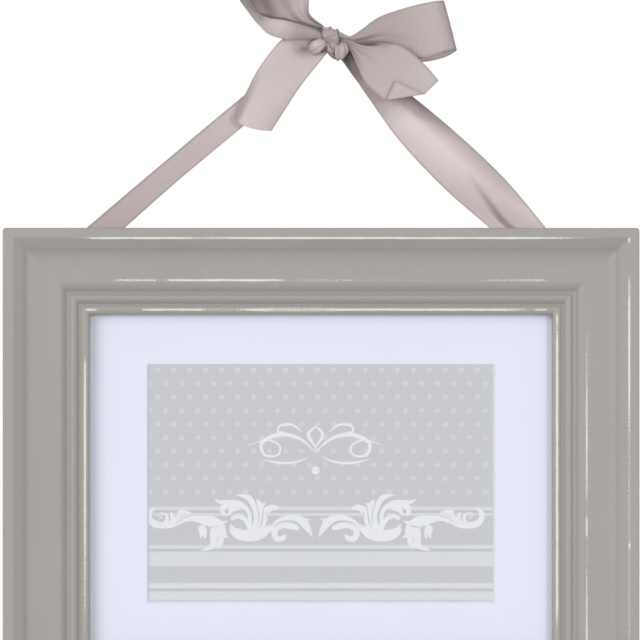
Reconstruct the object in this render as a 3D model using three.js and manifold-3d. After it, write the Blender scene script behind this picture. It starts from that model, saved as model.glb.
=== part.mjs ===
// Wooden picture frame hung on a satin ribbon that is tied in a bow.
// Millimetres, +Z up, front towards -Y. The origin is the hang point, where a nail carries the ribbon
// just under the knot. The back of the frame lies in the plane Y = 0.
import * as THREE from "three";
import { mergeVertices } from "three/addons/utils/BufferGeometryUtils.js";
import Module from "manifold-3d";

const wasm = await Module();
wasm.setup();

// Print, mat, glass and backing board
const printWidth = 180;
const printHeight = 130;
const printThickness = 0.3;
const printLapSide = 5; // the mat covers this much of the print at each side
const printLapTop = 7; // and this much at the top and at the bottom
const matMarginSide = 29; // mat that shows beside its window
const matMarginTop = 25.5; // mat that shows above and below its window
const matThickness = 1.4;
const matBevel = 1; // width of the slanted cut round the window
const glassThickness = 2;
const boardThickness = 2.5;
const stackGap = 0.1; // air between the layers in the rabbet
const boardRecess = 0.4; // the board lies this far inside the back of the frame
const paneClearance = 0.5; // room round the layers in the rabbet

// Moulding, member by member from the outer edge to the sight edge
const railWidth = 42.5;
const rabbetWidth = 6.5;
const edgeRound = 1;
const filletWidth = 5;
const quirkDrop = 0.5;
const ogeeWidth = 15;
const ogeeDrop = 4.7;
const ogeeShoulder = 0.4; // share of the ogee's width where its round top lets go
const ogeeSweep = 0.35; // and where its hollow foot begins to pull
const hollowRise = 0.4;
const ovoloWidth = 4.8;
const ovoloDrop = 2.8;
const stepWidth = 2;
const beadWidth = 3.7;
const beadRise = 0.6;
const grooveWidth = 1;
const grooveDrop = 0.6;
const cavettoWidth = 3;
const lipRise = 0.6;
const lipRound = 2.3;
const lipDrop = 0.8;
const lipThickness = 4.6; // wood in front of the glass at the sight edge
const mitreGap = 0.2;

// V-nails across the mitres
const nailInset = 13; // from both outer edges to the point of the V
const nailSpan = 9;
const nailRun = 4.5; // how far the arms of the V run back from its point
const nailThickness = 0.8;
const nailDepth = 8;
const nailSink = 0.3;

// Turn buttons and their screws
const buttonLength = 26;
const buttonWidth = 10;
const buttonThickness = 1;
const buttonGap = 0.3;
const buttonSpread = 60; // from the middle of the frame
const buttonSetback = 9; // from the edge of the rabbet
const screwRadius = 1.4;
const screwLength = 9;
const screwPoint = 1.5;
const screwHeadRadius = 3.2;
const screwHeadHeight = 1.8;
const screwHeadRim = 0.7; // height of the straight rim under the dome
const screwHeadCrown = 2.2; // radius of the flatter top of the dome
const screwHeadDome = 0.2; // height of that top
const recessLength = 3.6;
const recessWidth = 0.9;
const recessDepth = 0.9;

// Staples that hold the ribbon's ends
const stapleWidth = 9;
const stapleLeg = 8;
const wireThickness = 0.6;
const wireWidth = 1.1;
const stapleSteps = [5, 12]; // below the top edge of the frame
const stapleGap = 0.15;

// Ribbon
const ribbonWidth = 25;
const ribbonThickness = 0.6;
const endLength = 18; // height of the end that lies on the back of the top rail
const endGap = 0.15;
const footGap = 0.6; // between the top edge of the frame and the free ribbon
const footStandoff = 0.4; // the free ribbon clears the back of the frame by this much
const hangDrop = 82; // from the hang point down to the frame
const frameOffset = -9; // from the hang point to the middle of the frame
const leftReach = 104.7; // from the middle of the frame to the left foot of the ribbon
const rightReach = 96.1; // and to the right foot
const earRadius = 1.5; // of the turned-over corner on the right tail
const pleatWaves = 1.5; // gathers in each half of the ribbon's width

const cutClearance = 0.3; // between a fastener and the hole it sits in
const weld = 1e-4; // vertices closer than this are one
const arcSteps = 6; // along a curve of the moulding
const roundSides = 14; // round a screw or its hole

// Sizes that follow from those above
const windowWidth = printWidth - 2 * printLapSide;
const windowHeight = printHeight - 2 * printLapTop;
const sightWidth = windowWidth + 2 * matMarginSide;
const sightHeight = windowHeight + 2 * matMarginTop;
const outerWidth = sightWidth + 2 * railWidth;
const outerHeight = sightHeight + 2 * railWidth;
const paneWidth = sightWidth + 2 * (rabbetWidth - paneClearance);
const paneHeight = sightHeight + 2 * (rabbetWidth - paneClearance);
const layerThicknesses = [glassThickness, matThickness, printThickness, boardThickness];
const rabbetDepth = layerThicknesses.reduce((sum, t) => sum + stackGap + t, 0) + boardRecess;

// Heights of the moulding above the back of the frame
const sightTop = rabbetDepth + lipThickness;
const lipTop = sightTop + lipDrop;
const grooveTop = lipTop - lipRise;
const stepTop = grooveTop + grooveDrop;
const arrisTop = stepTop + ovoloDrop;
const hollowTop = arrisTop - hollowRise;
const ogeeTop = hollowTop + ogeeDrop;
const railDepth = ogeeTop + quirkDrop;

const finishes = {
  paint: { color: 0xa9a59f, roughness: 0.42, metalness: 0 },
  glass: { color: 0xf4f7f8, roughness: 0.03, metalness: 0, transparent: true, opacity: 0.2 },
  mat: { color: 0xe7e9f8, roughness: 0.9, metalness: 0 },
  print: { color: 0xc9cbd0, roughness: 0.5, metalness: 0 },
  board: { color: 0x8a6a48, roughness: 0.85, metalness: 0 },
  steel: { color: 0xb4b4b2, roughness: 0.35, metalness: 1 },
  ribbon: { color: 0xc9bab9, roughness: 0.45, metalness: 0 },
};

function piece(parent, name, geometry, finish) {
  const mesh = new THREE.Mesh(geometry, new THREE.MeshStandardMaterial(finishes[finish]));
  mesh.name = name;
  parent.add(mesh);
  return mesh;
}

// Solids: a geometry placed by a matrix, and a mesh made again from a solid
function solidOf(geometry, matrix) {
  const bare = geometry.clone().deleteAttribute("normal").deleteAttribute("uv").applyMatrix4(matrix);
  const merged = mergeVertices(bare, weld);
  const vertProperties = merged.attributes.position.array;
  const triVerts = Uint32Array.from(merged.index.array);
  return new wasm.Manifold(new wasm.Mesh({ numProp: 3, vertProperties, triVerts }));
}

function geometryOf(solid) {
  const { vertProperties, triVerts } = solid.getMesh();
  const geometry = new THREE.BufferGeometry();
  geometry.setAttribute("position", new THREE.BufferAttribute(vertProperties, 3));
  geometry.setIndex(new THREE.BufferAttribute(triVerts, 1));
  geometry.computeVertexNormals();
  return geometry;
}

// Cuts room for a fastener out of a mesh. The cutters are in the fastener's own space.
function relieve(mesh, fastener, cutters) {
  const toMesh = mesh.matrixWorld.clone().invert().multiply(fastener.matrixWorld);
  const whole = solidOf(mesh.geometry, new THREE.Matrix4());
  const left = cutters.reduce((solid, cutter) => solid.subtract(solidOf(cutter, toMesh)), whole);
  mesh.geometry = geometryOf(left);
}

// A flat outline in X and Z given a thickness. Its back lies in Y = 0 and its front faces -Y.
function panel(shape, thickness) {
  const settings = { depth: thickness, bevelEnabled: false, curveSegments: roundSides };
  return new THREE.ExtrudeGeometry(shape, settings).rotateX(Math.PI / 2);
}

function rectangle(path, width, height) {
  path.moveTo(-width / 2, -height / 2);
  path.lineTo(width / 2, -height / 2);
  path.lineTo(width / 2, height / 2);
  path.lineTo(-width / 2, height / 2);
  path.closePath();
  return path;
}

// Section of the moulding: x runs from the outer edge inwards, y from the back to the front.
function mouldingProfile() {
  const rabbetEdge = railWidth - rabbetWidth;
  const lipArris = railWidth - lipRound;
  const grooveEnd = lipArris - cavettoWidth;
  const beadEnd = grooveEnd - grooveWidth;
  const beadStart = beadEnd - beadWidth;
  const ovoloEnd = beadStart - stepWidth;
  const arris = ovoloEnd - ovoloWidth;
  const ogeeEnd = filletWidth + ogeeWidth;
  const shape = new THREE.Shape();
  shape.moveTo(0, 0);
  shape.lineTo(0, railDepth - edgeRound);
  shape.quadraticCurveTo(0, railDepth, edgeRound, railDepth);
  shape.lineTo(filletWidth, railDepth);
  shape.lineTo(filletWidth, ogeeTop);
  shape.bezierCurveTo(
    filletWidth + ogeeShoulder * ogeeWidth, ogeeTop,
    filletWidth + ogeeSweep * ogeeWidth, hollowTop,
    ogeeEnd, hollowTop,
  );
  shape.lineTo(arris, arrisTop);
  shape.quadraticCurveTo(ovoloEnd, arrisTop, ovoloEnd, stepTop);
  shape.lineTo(beadStart, stepTop);
  shape.quadraticCurveTo((beadStart + beadEnd) / 2, stepTop + 2 * beadRise, beadEnd, stepTop);
  shape.lineTo(beadEnd, grooveTop);
  shape.lineTo(grooveEnd, grooveTop);
  shape.quadraticCurveTo(lipArris, grooveTop, lipArris, lipTop);
  shape.quadraticCurveTo(railWidth, lipTop, railWidth, sightTop);
  shape.lineTo(railWidth, rabbetDepth);
  shape.lineTo(rabbetEdge, rabbetDepth);
  shape.lineTo(rabbetEdge, 0);
  shape.closePath();
  return shape;
}

// A mitred rail. X runs along it, its outer edge lies in Z = 0 and its back in Y = 0.
function railGeometry(length) {
  const geometry = new THREE.ExtrudeGeometry(mouldingProfile(), {
    depth: 1,
    bevelEnabled: false,
    curveSegments: arcSteps,
  });
  const at = geometry.attributes.position;
  for (let i = 0; i < at.count; i++) {
    const inwards = at.getX(i);
    const halfLength = length / 2 - inwards - mitreGap;
    at.setXYZ(i, at.getZ(i) > 0.5 ? -halfLength : halfLength, -at.getY(i), -inwards);
  }
  geometry.computeVertexNormals();
  return geometry;
}

// Mat board: the front edge of its window is moved out to make the slanted cut.
function matGeometry() {
  const shape = rectangle(new THREE.Shape(), paneWidth, paneHeight);
  shape.holes.push(rectangle(new THREE.Path(), windowWidth, windowHeight));
  const geometry = panel(shape, matThickness);
  const at = geometry.attributes.position;
  for (let i = 0; i < at.count; i++) {
    const inWidth = Math.abs(at.getX(i)) < windowWidth / 2 + weld;
    const inHeight = Math.abs(at.getZ(i)) < windowHeight / 2 + weld;
    const inFront = at.getY(i) < -matThickness / 2;
    if (inWidth && inHeight && inFront) {
      at.setX(i, at.getX(i) + Math.sign(at.getX(i)) * matBevel);
      at.setZ(i, at.getZ(i) + Math.sign(at.getZ(i)) * matBevel);
    }
  }
  return geometry;
}

// A V-nail, or the slot for it when it is grown. The V points along -Z and is driven from the back.
function nailGeometry(grow) {
  const slope = Math.hypot(nailSpan / 2, nailRun) / (nailSpan / 2);
  const low = -grow * slope;
  const high = (nailThickness + grow) * slope;
  const side = nailSpan / 2 + grow;
  const rise = (nailRun * side) / (nailSpan / 2);
  const shape = new THREE.Shape();
  shape.moveTo(0, low);
  shape.lineTo(side, low + rise);
  shape.lineTo(side, high + rise);
  shape.lineTo(0, high);
  shape.lineTo(-side, high + rise);
  shape.lineTo(-side, low + rise);
  shape.closePath();
  return panel(shape, nailDepth + 2 * grow).translate(0, grow, 0);
}

// A turn button with its pivot at the origin and its arm along X.
function buttonGeometry() {
  const radius = buttonWidth / 2;
  const shape = new THREE.Shape();
  shape.absarc(0, 0, radius, Math.PI / 2, 1.5 * Math.PI, false);
  shape.absarc(buttonLength - buttonWidth, 0, radius, -Math.PI / 2, Math.PI / 2, false);
  shape.closePath();
  const hole = new THREE.Path();
  hole.absarc(0, 0, screwRadius + cutClearance, 0, 2 * Math.PI, true);
  shape.holes.push(hole);
  return panel(shape, buttonThickness);
}

// A pan-head screw along Y: the head stands on Y = 0 and the shank points to -Y.
function screwGeometry() {
  const profile = [
    [0, -screwLength],
    [screwRadius, -screwLength + screwPoint],
    [screwRadius, 0],
    [screwHeadRadius, 0],
    [screwHeadRadius, screwHeadRim],
    [screwHeadCrown, screwHeadHeight - screwHeadDome],
    [0, screwHeadHeight],
  ];
  return new THREE.LatheGeometry(profile.map(([r, y]) => new THREE.Vector2(r, y)), roundSides);
}

function screwRecess() {
  const long = [recessLength, recessWidth];
  return [long, [...long].reverse()].map(([x, z]) =>
    new THREE.BoxGeometry(x, 2 * recessDepth, z).translate(0, screwHeadHeight, 0),
  );
}

function screwHole() {
  const depth = screwLength + cutClearance;
  const radius = screwRadius + cutClearance;
  return [new THREE.CylinderGeometry(radius, radius, depth, roundSides).translate(0, -depth / 2, 0)];
}

// A staple: the inside of its crown lies in Y = 0 and its legs point to -Y.
function stapleGeometry() {
  const outside = stapleWidth / 2;
  const inside = outside - wireThickness;
  const shape = new THREE.Shape();
  shape.moveTo(-outside, wireThickness);
  shape.lineTo(-outside, -stapleLeg);
  shape.lineTo(-inside, -stapleLeg);
  shape.lineTo(-inside, 0);
  shape.lineTo(inside, 0);
  shape.lineTo(inside, -stapleLeg);
  shape.lineTo(outside, -stapleLeg);
  shape.lineTo(outside, wireThickness);
  shape.closePath();
  return new THREE.ExtrudeGeometry(shape, { depth: wireWidth, bevelEnabled: false })
    .translate(0, 0, -wireWidth / 2);
}

function stapleHoles() {
  const thick = wireThickness + 2 * cutClearance;
  const wide = wireWidth + 2 * cutClearance;
  const middle = (stapleWidth - wireThickness) / 2;
  const deep = stapleLeg + cutClearance;
  return [-middle, middle].map((x) => new THREE.BoxGeometry(thick, deep, wide).translate(x, -deep / 2, 0));
}

// The bow's points are given for a ribbon 25 mm wide, and follow the ribbon's width.
const bowScale = ribbonWidth / 25;
const tied = (numbers) => numbers.map((n) => n * bowScale);
const tiedStations = (stations) => stations.map((s) => ({ ...s, at: tied(s.at) }));

// A length of ribbon through stations. Each has the middle of the ribbon (at), the line across it as
// shares of the ribbon's width (across), how far the middle bulges (cup) and how deep it is pleated.
// bend, where given, moves the points of the finished middle surface.
function ribbonGeometry(stations, { thickness, along, over, bend = (point) => point }) {
  const curve = (pick) => {
    const points = stations.map((s) => new THREE.Vector3(...pick(s)));
    return new THREE.CatmullRomCurve3(points, false, "catmullrom", 0.5);
  };
  const middle = curve((s) => s.at);
  const across = curve((s) => s.across);
  const folds = curve((s) => [bowScale * (s.cup ?? 0), bowScale * (s.pleat ?? 0), 0]);
  const rows = [];
  for (let i = 0; i <= along; i++) {
    const t = i / along;
    const half = across.getPoint(t).multiplyScalar(ribbonWidth / 2);
    const normal = middle.getTangent(t).cross(half).normalize();
    const { x: cup, y: pleat } = folds.getPoint(t);
    const row = [];
    for (let j = 0; j <= over; j++) {
      const s = (2 * j) / over - 1;
      const bulge = cup * (1 - s * s) + pleat * Math.cos(pleatWaves * 2 * Math.PI * s);
      row.push(bend(middle.getPoint(t).addScaledVector(half, s).addScaledVector(normal, bulge)));
    }
    rows.push(row);
  }
  return thickened(rows, thickness);
}

// A closed sheet of the given thickness round a grid of points.
function thickened(rows, thickness) {
  const last = rows.length - 1;
  const width = rows[0].length;
  const front = [];
  const back = [];
  rows.forEach((row, i) =>
    row.forEach((point, j) => {
      const down = rows[Math.min(i + 1, last)][j].clone().sub(rows[Math.max(i - 1, 0)][j]);
      const side = row[Math.min(j + 1, width - 1)].clone().sub(row[Math.max(j - 1, 0)]);
      const normal = down.cross(side).setLength(thickness / 2);
      front.push(...point.clone().add(normal));
      back.push(...point.clone().sub(normal));
    }),
  );
  const count = rows.length * width;
  const index = [];
  const quad = (a, b, c, d) => index.push(a, b, d, b, c, d);
  for (let i = 0; i < last; i++)
    for (let j = 0; j < width - 1; j++) {
      const a = i * width + j;
      quad(a, a + width, a + width + 1, a + 1);
      quad(count + a, count + a + 1, count + a + width + 1, count + a + width);
    }
  const rim = [];
  for (let j = 0; j < width - 1; j++) rim.push(j);
  for (let i = 0; i < last; i++) rim.push(i * width + width - 1);
  for (let j = width - 1; j > 0; j--) rim.push(last * width + j);
  for (let i = last; i > 0; i--) rim.push(i * width);
  rim.forEach((a, k) => {
    const b = rim[(k + 1) % rim.length];
    quad(a, b, count + b, count + a);
  });
  const geometry = new THREE.BufferGeometry();
  geometry.setAttribute("position", new THREE.Float32BufferAttribute([...front, ...back], 3));
  geometry.setIndex(index);
  geometry.computeVertexNormals();
  return geometry;
}

// Rounded lumps joined into one solid
function lumpGeometry(lumps) {
  const ball = new THREE.SphereGeometry(1, 14, 10);
  const solids = lumps.map(({ at, radii }) => {
    const place = new THREE.Matrix4().makeTranslation(...tied(at));
    return solidOf(ball, place.scale(new THREE.Vector3(...tied(radii))));
  });
  return geometryOf(solids.reduce((all, solid) => all.add(solid)));
}

const picture = new THREE.Group();
const frame = new THREE.Group();
const bow = new THREE.Group();
picture.add(frame, bow);
frame.position.set(frameOffset, 0, -hangDrop - outerHeight / 2);

// Rails
const rails = [
  ["rail_top", outerWidth, [0, 0, outerHeight / 2], 0],
  ["rail_right", outerHeight, [outerWidth / 2, 0, 0], Math.PI / 2],
  ["rail_bottom", outerWidth, [0, 0, -outerHeight / 2], Math.PI],
  ["rail_left", outerHeight, [-outerWidth / 2, 0, 0], -Math.PI / 2],
].map(([name, length, place, turn]) => {
  const rail = piece(frame, name, railGeometry(length), "paint");
  rail.position.set(...place);
  rail.rotation.y = turn;
  return rail;
});

// Layers in the rabbet, from the glass to the backing board
const paneShape = rectangle(new THREE.Shape(), paneWidth, paneHeight);
const printShape = rectangle(new THREE.Shape(), printWidth, printHeight);
let layerBack = -rabbetDepth;
[
  ["glass_pane", panel(paneShape, glassThickness), "glass"],
  ["mat_board", matGeometry(), "mat"],
  ["photo_print", panel(printShape, printThickness), "print"],
  ["backing_board", panel(paneShape, boardThickness), "board"],
].forEach(([name, geometry, finish], i) => {
  layerBack += stackGap + layerThicknesses[i];
  piece(frame, name, geometry, finish).position.y = layerBack;
});

// V-nails, with the point of each V towards its outer corner
const nails = [];
for (const [name, x, z] of [
  ["v_nail_top_right", 1, 1],
  ["v_nail_bottom_right", 1, -1],
  ["v_nail_bottom_left", -1, -1],
  ["v_nail_top_left", -1, 1],
]) {
  const nail = piece(frame, name, nailGeometry(0), "steel");
  nail.position.set(x * (outerWidth / 2 - nailInset), -nailSink, z * (outerHeight / 2 - nailInset));
  nail.rotation.y = Math.atan2(-x, -z);
  nails.push(nail);
}

// Turn buttons on the top and bottom rails, with their arms over the backing board
const screws = [];
const pivotZ = sightHeight / 2 + rabbetWidth + buttonSetback;
for (const [place, x, z] of [
  ["top_left", -1, 1],
  ["top_right", 1, 1],
  ["bottom_left", -1, -1],
  ["bottom_right", 1, -1],
]) {
  const pivot = new THREE.Group();
  pivot.position.set(x * buttonSpread, buttonGap + buttonThickness, z * pivotZ);
  frame.add(pivot);
  piece(pivot, `turn_button_${place}`, buttonGeometry(), "steel").rotation.y = (z * Math.PI) / 2;
  const screw = piece(pivot, `button_screw_${place}`, screwGeometry(), "steel");
  screw.position.y = buttonGap;
  relieve(screw, screw, screwRecess());
  screws.push(screw);
}

// The ribbon's two legs, each from behind the knot to its foot at the top edge of the frame, and its
// ends on the back of the top rail. The left leg is folded in half along its length.
const staples = [];
const ends = [];
for (const { side, top, footX, layers, stations } of [
  {
    side: "left",
    top: [-6, -2.9, 9.4],
    footX: frameOffset - leftReach,
    layers: 2,
    stations: [
      { share: 0, across: [-0.28, 0, 0.1] },
      { share: 0.17, across: [-0.36, 0, 0.2] },
      { share: 0.35, across: [-0.2, 0, 0.4] },
      { share: 0.7, across: [-0.38, 0, 0.25] },
      { share: 1, across: [-0.72, 0, 0] },
    ],
  },
  {
    side: "right",
    top: [2.2, -3.9, 4.2],
    footX: frameOffset + rightReach,
    layers: 1,
    stations: [
      { share: 0, across: [-0.16, 0, -0.08], cup: -0.3 },
      { share: 0.11, across: [-0.44, 0, -0.2], cup: -1.5 },
      { share: 0.23, across: [-0.72, 0, -0.2], cup: -3 },
      { share: 0.47, across: [-1, 0, -0.22], cup: -4.5 },
      { share: 0.74, across: [-1.1, 0, -0.18], cup: -4 },
      { share: 1, across: [-1.04, 0, 0], cup: -0.4 },
    ],
  },
]) {
  const thickness = layers * ribbonThickness;
  const start = new THREE.Vector3(...tied(top));
  const foot = new THREE.Vector3(footX, footStandoff + thickness / 2, footGap - hangDrop);
  const leg = stations.map((s) => ({ ...s, at: start.clone().lerp(foot, s.share) }));
  piece(bow, `ribbon_leg_${side}`, ribbonGeometry(leg, { thickness, along: 20, over: 8 }), "ribbon");

  const slant = (foot.x - start.x) / (start.z - foot.z);
  const endY = endGap + thickness / 2;
  const across = stations.at(-1).across;
  const onBack = (drop) => [foot.x + slant * drop, endY, -hangDrop - drop];
  const flat = [0, endLength].map((drop) => ({ at: onBack(drop), across }));
  const strip = ribbonGeometry(flat, { thickness, along: 1, over: 1 });
  ends.push(piece(picture, `ribbon_end_${side}`, strip, "ribbon"));
  stapleSteps.forEach((drop, i) => {
    const staple = piece(picture, `staple_${side}_${i + 1}`, stapleGeometry(), "steel");
    staple.position.set(...onBack(drop));
    staple.position.y = endGap + thickness + stapleGap;
    staples.push(staple);
  });
}

// Right loop: the front layer out of the knot, round the end and back behind
const rightLoop = tiedStations([
  { at: [0.8, -9.2, 12.6], across: [0, 0, 0.16], pleat: 0.5 },
  { at: [12, -10.2, 12.2], across: [-0.05, 0, 0.34], pleat: 0.9 },
  { at: [24, -11, 14.6], across: [-0.08, 0, 0.72], cup: -1, pleat: 0.4 },
  { at: [38, -11.5, 15.8], across: [-0.12, 0, 1], cup: -0.8 },
  { at: [50, -10.4, 17.4], across: [-0.2, 0, 1], cup: 0 },
  { at: [54.6, -7, 17.2], across: [-0.25, 0, 0.98], cup: 0 },
  { at: [49, -3.6, 15.2], across: [-0.18, 0, 1.04], cup: 0 },
  { at: [37, -2.6, 13], across: [-0.16, 0, 1.02], cup: 0.6 },
  { at: [23, -2.8, 12], across: [-0.08, 0, 0.72], cup: 0.6, pleat: 0.4 },
  { at: [10.5, -3.6, 11.4], across: [-0.04, 0, 0.3], pleat: 0.7 },
  { at: [0.8, -5, 12], across: [0, 0, 0.14], pleat: 0.5 },
]);

// Left loop: the back layer up from the knot, over and down in front with its edge towards the viewer
const leftLoop = tiedStations([
  { at: [-8.4, -4.2, 15.8], across: [0.06, 0, 0.14], pleat: 0.4 },
  { at: [-19.8, -3.4, 19.2], across: [0.42, -0.04, 0.38], pleat: 0.5 },
  { at: [-26.2, -3.8, 25.2], across: [0.86, -0.08, 0.62] },
  { at: [-31, -5.5, 35], across: [0.88, -0.2, 0.64] },
  { at: [-39, -9, 43.5], across: [0.72, -0.42, 0.6] },
  { at: [-45.5, -12.5, 44.2], across: [0.52, -0.6, 0.46] },
  { at: [-47.5, -15.2, 37.5], across: [0.36, -0.7, 0.2] },
  { at: [-45.2, -16, 30], across: [0.34, -0.72, 0] },
  { at: [-40, -15.6, 22.2], across: [0.26, -0.68, 0.14] },
  { at: [-33.4, -14, 17.2], across: [0.12, -0.52, 0.28] },
  { at: [-20.8, -12.6, 14.8], across: [-0.02, -0.2, 0.32], pleat: 0.4 },
  { at: [-9.3, -10, 13.2], across: [0.02, -0.1, 0.14], pleat: 0.4 },
]);

const leftTail = tiedStations([
  { at: [-12.6, -4.2, 11], across: [-0.3, 0, 0.14] },
  { at: [-18.6, -4.4, 5.4], across: [-0.8, 0, 0.28], cup: 0 },
  { at: [-27.8, -6.4, -7.2], across: [-0.82, 0.06, 0.34], cup: -2.6 },
  { at: [-35, -7.4, -18.8], across: [-0.8, 0.08, 0.28], cup: -3.4 },
  { at: [-42.8, -7.4, -31], across: [-0.74, 0.08, 0.24], cup: -3.4 },
]);

const rightTail = tiedStations([
  { at: [4.9, -10.8, 7.8], across: [-0.04, 0, -0.14] },
  { at: [12.4, -13.2, 5.2], across: [-0.36, 0, -0.18], cup: 0.6, pleat: 0.4 },
  { at: [19.9, -14.4, 1.2], across: [-0.68, 0, -0.66], cup: -0.6 },
  { at: [25.4, -14.6, -3.8], across: [-0.73, 0, -0.72], cup: -0.8 },
  { at: [31.6, -14, -9.6], across: [-0.76, 0, -0.73], cup: -0.8 },
  { at: [39.7, -13, -18.2], across: [-0.75, 0, -0.71], cup: -0.5 },
]);

// The lower corner of the right tail is turned over to the front along a line through two points.
const earStart = new THREE.Vector2(...tied([22.3, -18.7]));
const earEnd = new THREE.Vector2(...tied([42.2, -15.3]));
const earLine = earEnd.clone().sub(earStart).normalize();
const earOut = new THREE.Vector2(earLine.y, -earLine.x);
function turnCorner(point) {
  const away = (point.x - earStart.x) * earOut.x + (point.z - earStart.y) * earOut.y;
  if (away <= 0) return point;
  const angle = Math.min(away / earRadius, Math.PI);
  const past = Math.max(away - Math.PI * earRadius, 0);
  const shift = earRadius * Math.sin(angle) - past - away;
  const lift = earRadius * (1 - Math.cos(angle));
  return point.add(new THREE.Vector3(shift * earOut.x, -lift, shift * earOut.y));
}

const single = { thickness: ribbonThickness };
piece(bow, "bow_loop_right", ribbonGeometry(rightLoop, { ...single, along: 40, over: 8 }), "ribbon");
piece(bow, "bow_loop_left", ribbonGeometry(leftLoop, { ...single, along: 40, over: 8 }), "ribbon");
piece(bow, "bow_tail_left", ribbonGeometry(leftTail, { ...single, along: 18, over: 10 }), "ribbon");
piece(
  bow,
  "bow_tail_right",
  ribbonGeometry(rightTail, { ...single, along: 24, over: 16, bend: turnCorner }),
  "ribbon",
);

// Knot: the wrap and the gathered folds that hang under it
piece(
  bow,
  "bow_knot",
  lumpGeometry([
    { at: [-4.5, -8, 12.7], radii: [4.3, 5.5, 5.2] },
    { at: [-10.6, -8.4, 6.9], radii: [4.5, 3.4, 3.2] },
    { at: [-4, -8.8, 6.2], radii: [3.6, 3.6, 3] },
    { at: [2, -8.4, 5.2], radii: [3, 3.6, 4.4] },
  ]),
  "ribbon",
);

// Holes and slots for the fasteners
picture.updateMatrixWorld(true);
for (const rail of rails) {
  for (const nail of nails) relieve(rail, nail, [nailGeometry(cutClearance)]);
  for (const screw of screws) relieve(rail, screw, screwHole());
  for (const staple of staples) relieve(rail, staple, stapleHoles());
}
for (const end of ends) for (const staple of staples) relieve(end, staple, stapleHoles());

export default picture;
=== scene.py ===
# %% [markdown]
# # A wooden picture frame hung on a ribbon
#
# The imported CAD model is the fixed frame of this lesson: it says where every piece is and how it
# moves. Each step below dresses one piece of it, in the same coordinates. Z is up, the front faces
# -Y, and the origin is where a nail carries the ribbon.

import math

import bmesh
import bpy
import numpy as np
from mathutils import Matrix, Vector


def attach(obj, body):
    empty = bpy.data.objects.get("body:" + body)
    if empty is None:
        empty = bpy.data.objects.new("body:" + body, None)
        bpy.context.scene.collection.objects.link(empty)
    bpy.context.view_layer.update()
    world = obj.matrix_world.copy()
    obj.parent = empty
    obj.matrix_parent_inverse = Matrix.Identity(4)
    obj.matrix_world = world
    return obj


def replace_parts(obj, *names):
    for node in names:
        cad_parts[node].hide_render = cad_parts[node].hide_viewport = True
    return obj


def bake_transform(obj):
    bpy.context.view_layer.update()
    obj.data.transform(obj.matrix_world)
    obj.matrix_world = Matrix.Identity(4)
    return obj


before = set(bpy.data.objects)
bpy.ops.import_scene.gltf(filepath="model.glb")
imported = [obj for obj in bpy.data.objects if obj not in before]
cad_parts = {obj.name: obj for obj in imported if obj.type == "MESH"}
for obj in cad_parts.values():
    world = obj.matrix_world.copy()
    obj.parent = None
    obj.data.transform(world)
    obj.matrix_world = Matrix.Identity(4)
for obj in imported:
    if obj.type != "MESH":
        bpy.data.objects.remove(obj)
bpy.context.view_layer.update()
MM = 0.001
print("CAD nodes:", len(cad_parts))

# %% [markdown]
# ## Camera
#
# The picture was taken straight on, from so far away that the sides of the moulding don't show. An
# orthographic camera would do, but a long lens three metres off gives the same flat view and behaves
# like a real camera when it is moved. The lens follows from the width that has to fit in the picture.

# %% Camera
EYE = Vector((-9.5, -3012, -127.3)) * MM
DISTANCE = 3.0
VIEW_WIDTH = 315.4 * MM
SENSOR = 36
camera = bpy.data.objects.new("camera", bpy.data.cameras.new("camera"))
camera.location = EYE
camera.rotation_euler = (math.radians(90), 0, 0)
camera.data.sensor_width = SENSOR
camera.data.lens = SENSOR * DISTANCE / VIEW_WIDTH
camera.data.clip_start = 0.1
camera.data.clip_end = 50
bpy.context.scene.collection.objects.link(camera)
bpy.context.scene.camera = camera
bpy.context.scene.view_settings.view_transform = "Standard"
print("lens", round(camera.data.lens, 1))

# %% [markdown]
# ## Light
#
# The light falls from the left and a little from above, and the lip throws a wide soft shadow on the
# mat there. A smaller lamp on the right gives the narrow shadow along the other side. A weak one from
# the front keeps the grooves of the moulding from filling with light, and one more lights the back.
# Area lamps are used, because their size says how soft a shadow is.

# %% Lamps
MIDDLE = Vector((-9.5, 0, -130)) * MM
LAMP_DISTANCE = 4.0


def soft_lamp(name, towards, energy, size=2.2):
    """A square lamp that faces the middle of the picture. Its size in metres softens its shadows."""
    light = bpy.data.lights.new(name, "AREA")
    light.shape = "SQUARE"
    light.size = size
    light.energy = energy
    lamp = bpy.data.objects.new(name, light)
    lamp.location = MIDDLE + Vector(towards) * LAMP_DISTANCE
    lamp.rotation_euler = (MIDDLE - lamp.location).to_track_quat("-Z", "Y").to_euler()
    bpy.context.scene.collection.objects.link(lamp)
    print(name, "at", [round(v, 2) for v in lamp.location])


soft_lamp("window_light", (-0.6, -0.775, 0.2), 60)
soft_lamp("right_light", (0.42, -0.9, 0.12), 34, size=0.7)
soft_lamp("front_light", (0.0, -0.99, 0.1), 14)
soft_lamp("back_light", (0.3, 0.85, 0.43), 80)

# %% [markdown]
# ## Shader sums in plain Python
#
# A worn edge or a printed dot is a small piece of arithmetic. Wiring it by hand takes many Math
# nodes, so one class wraps a socket: adding or multiplying two of them adds the node. Its method
# `node` makes any other node, with its settings first and then what goes into its sockets.


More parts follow.
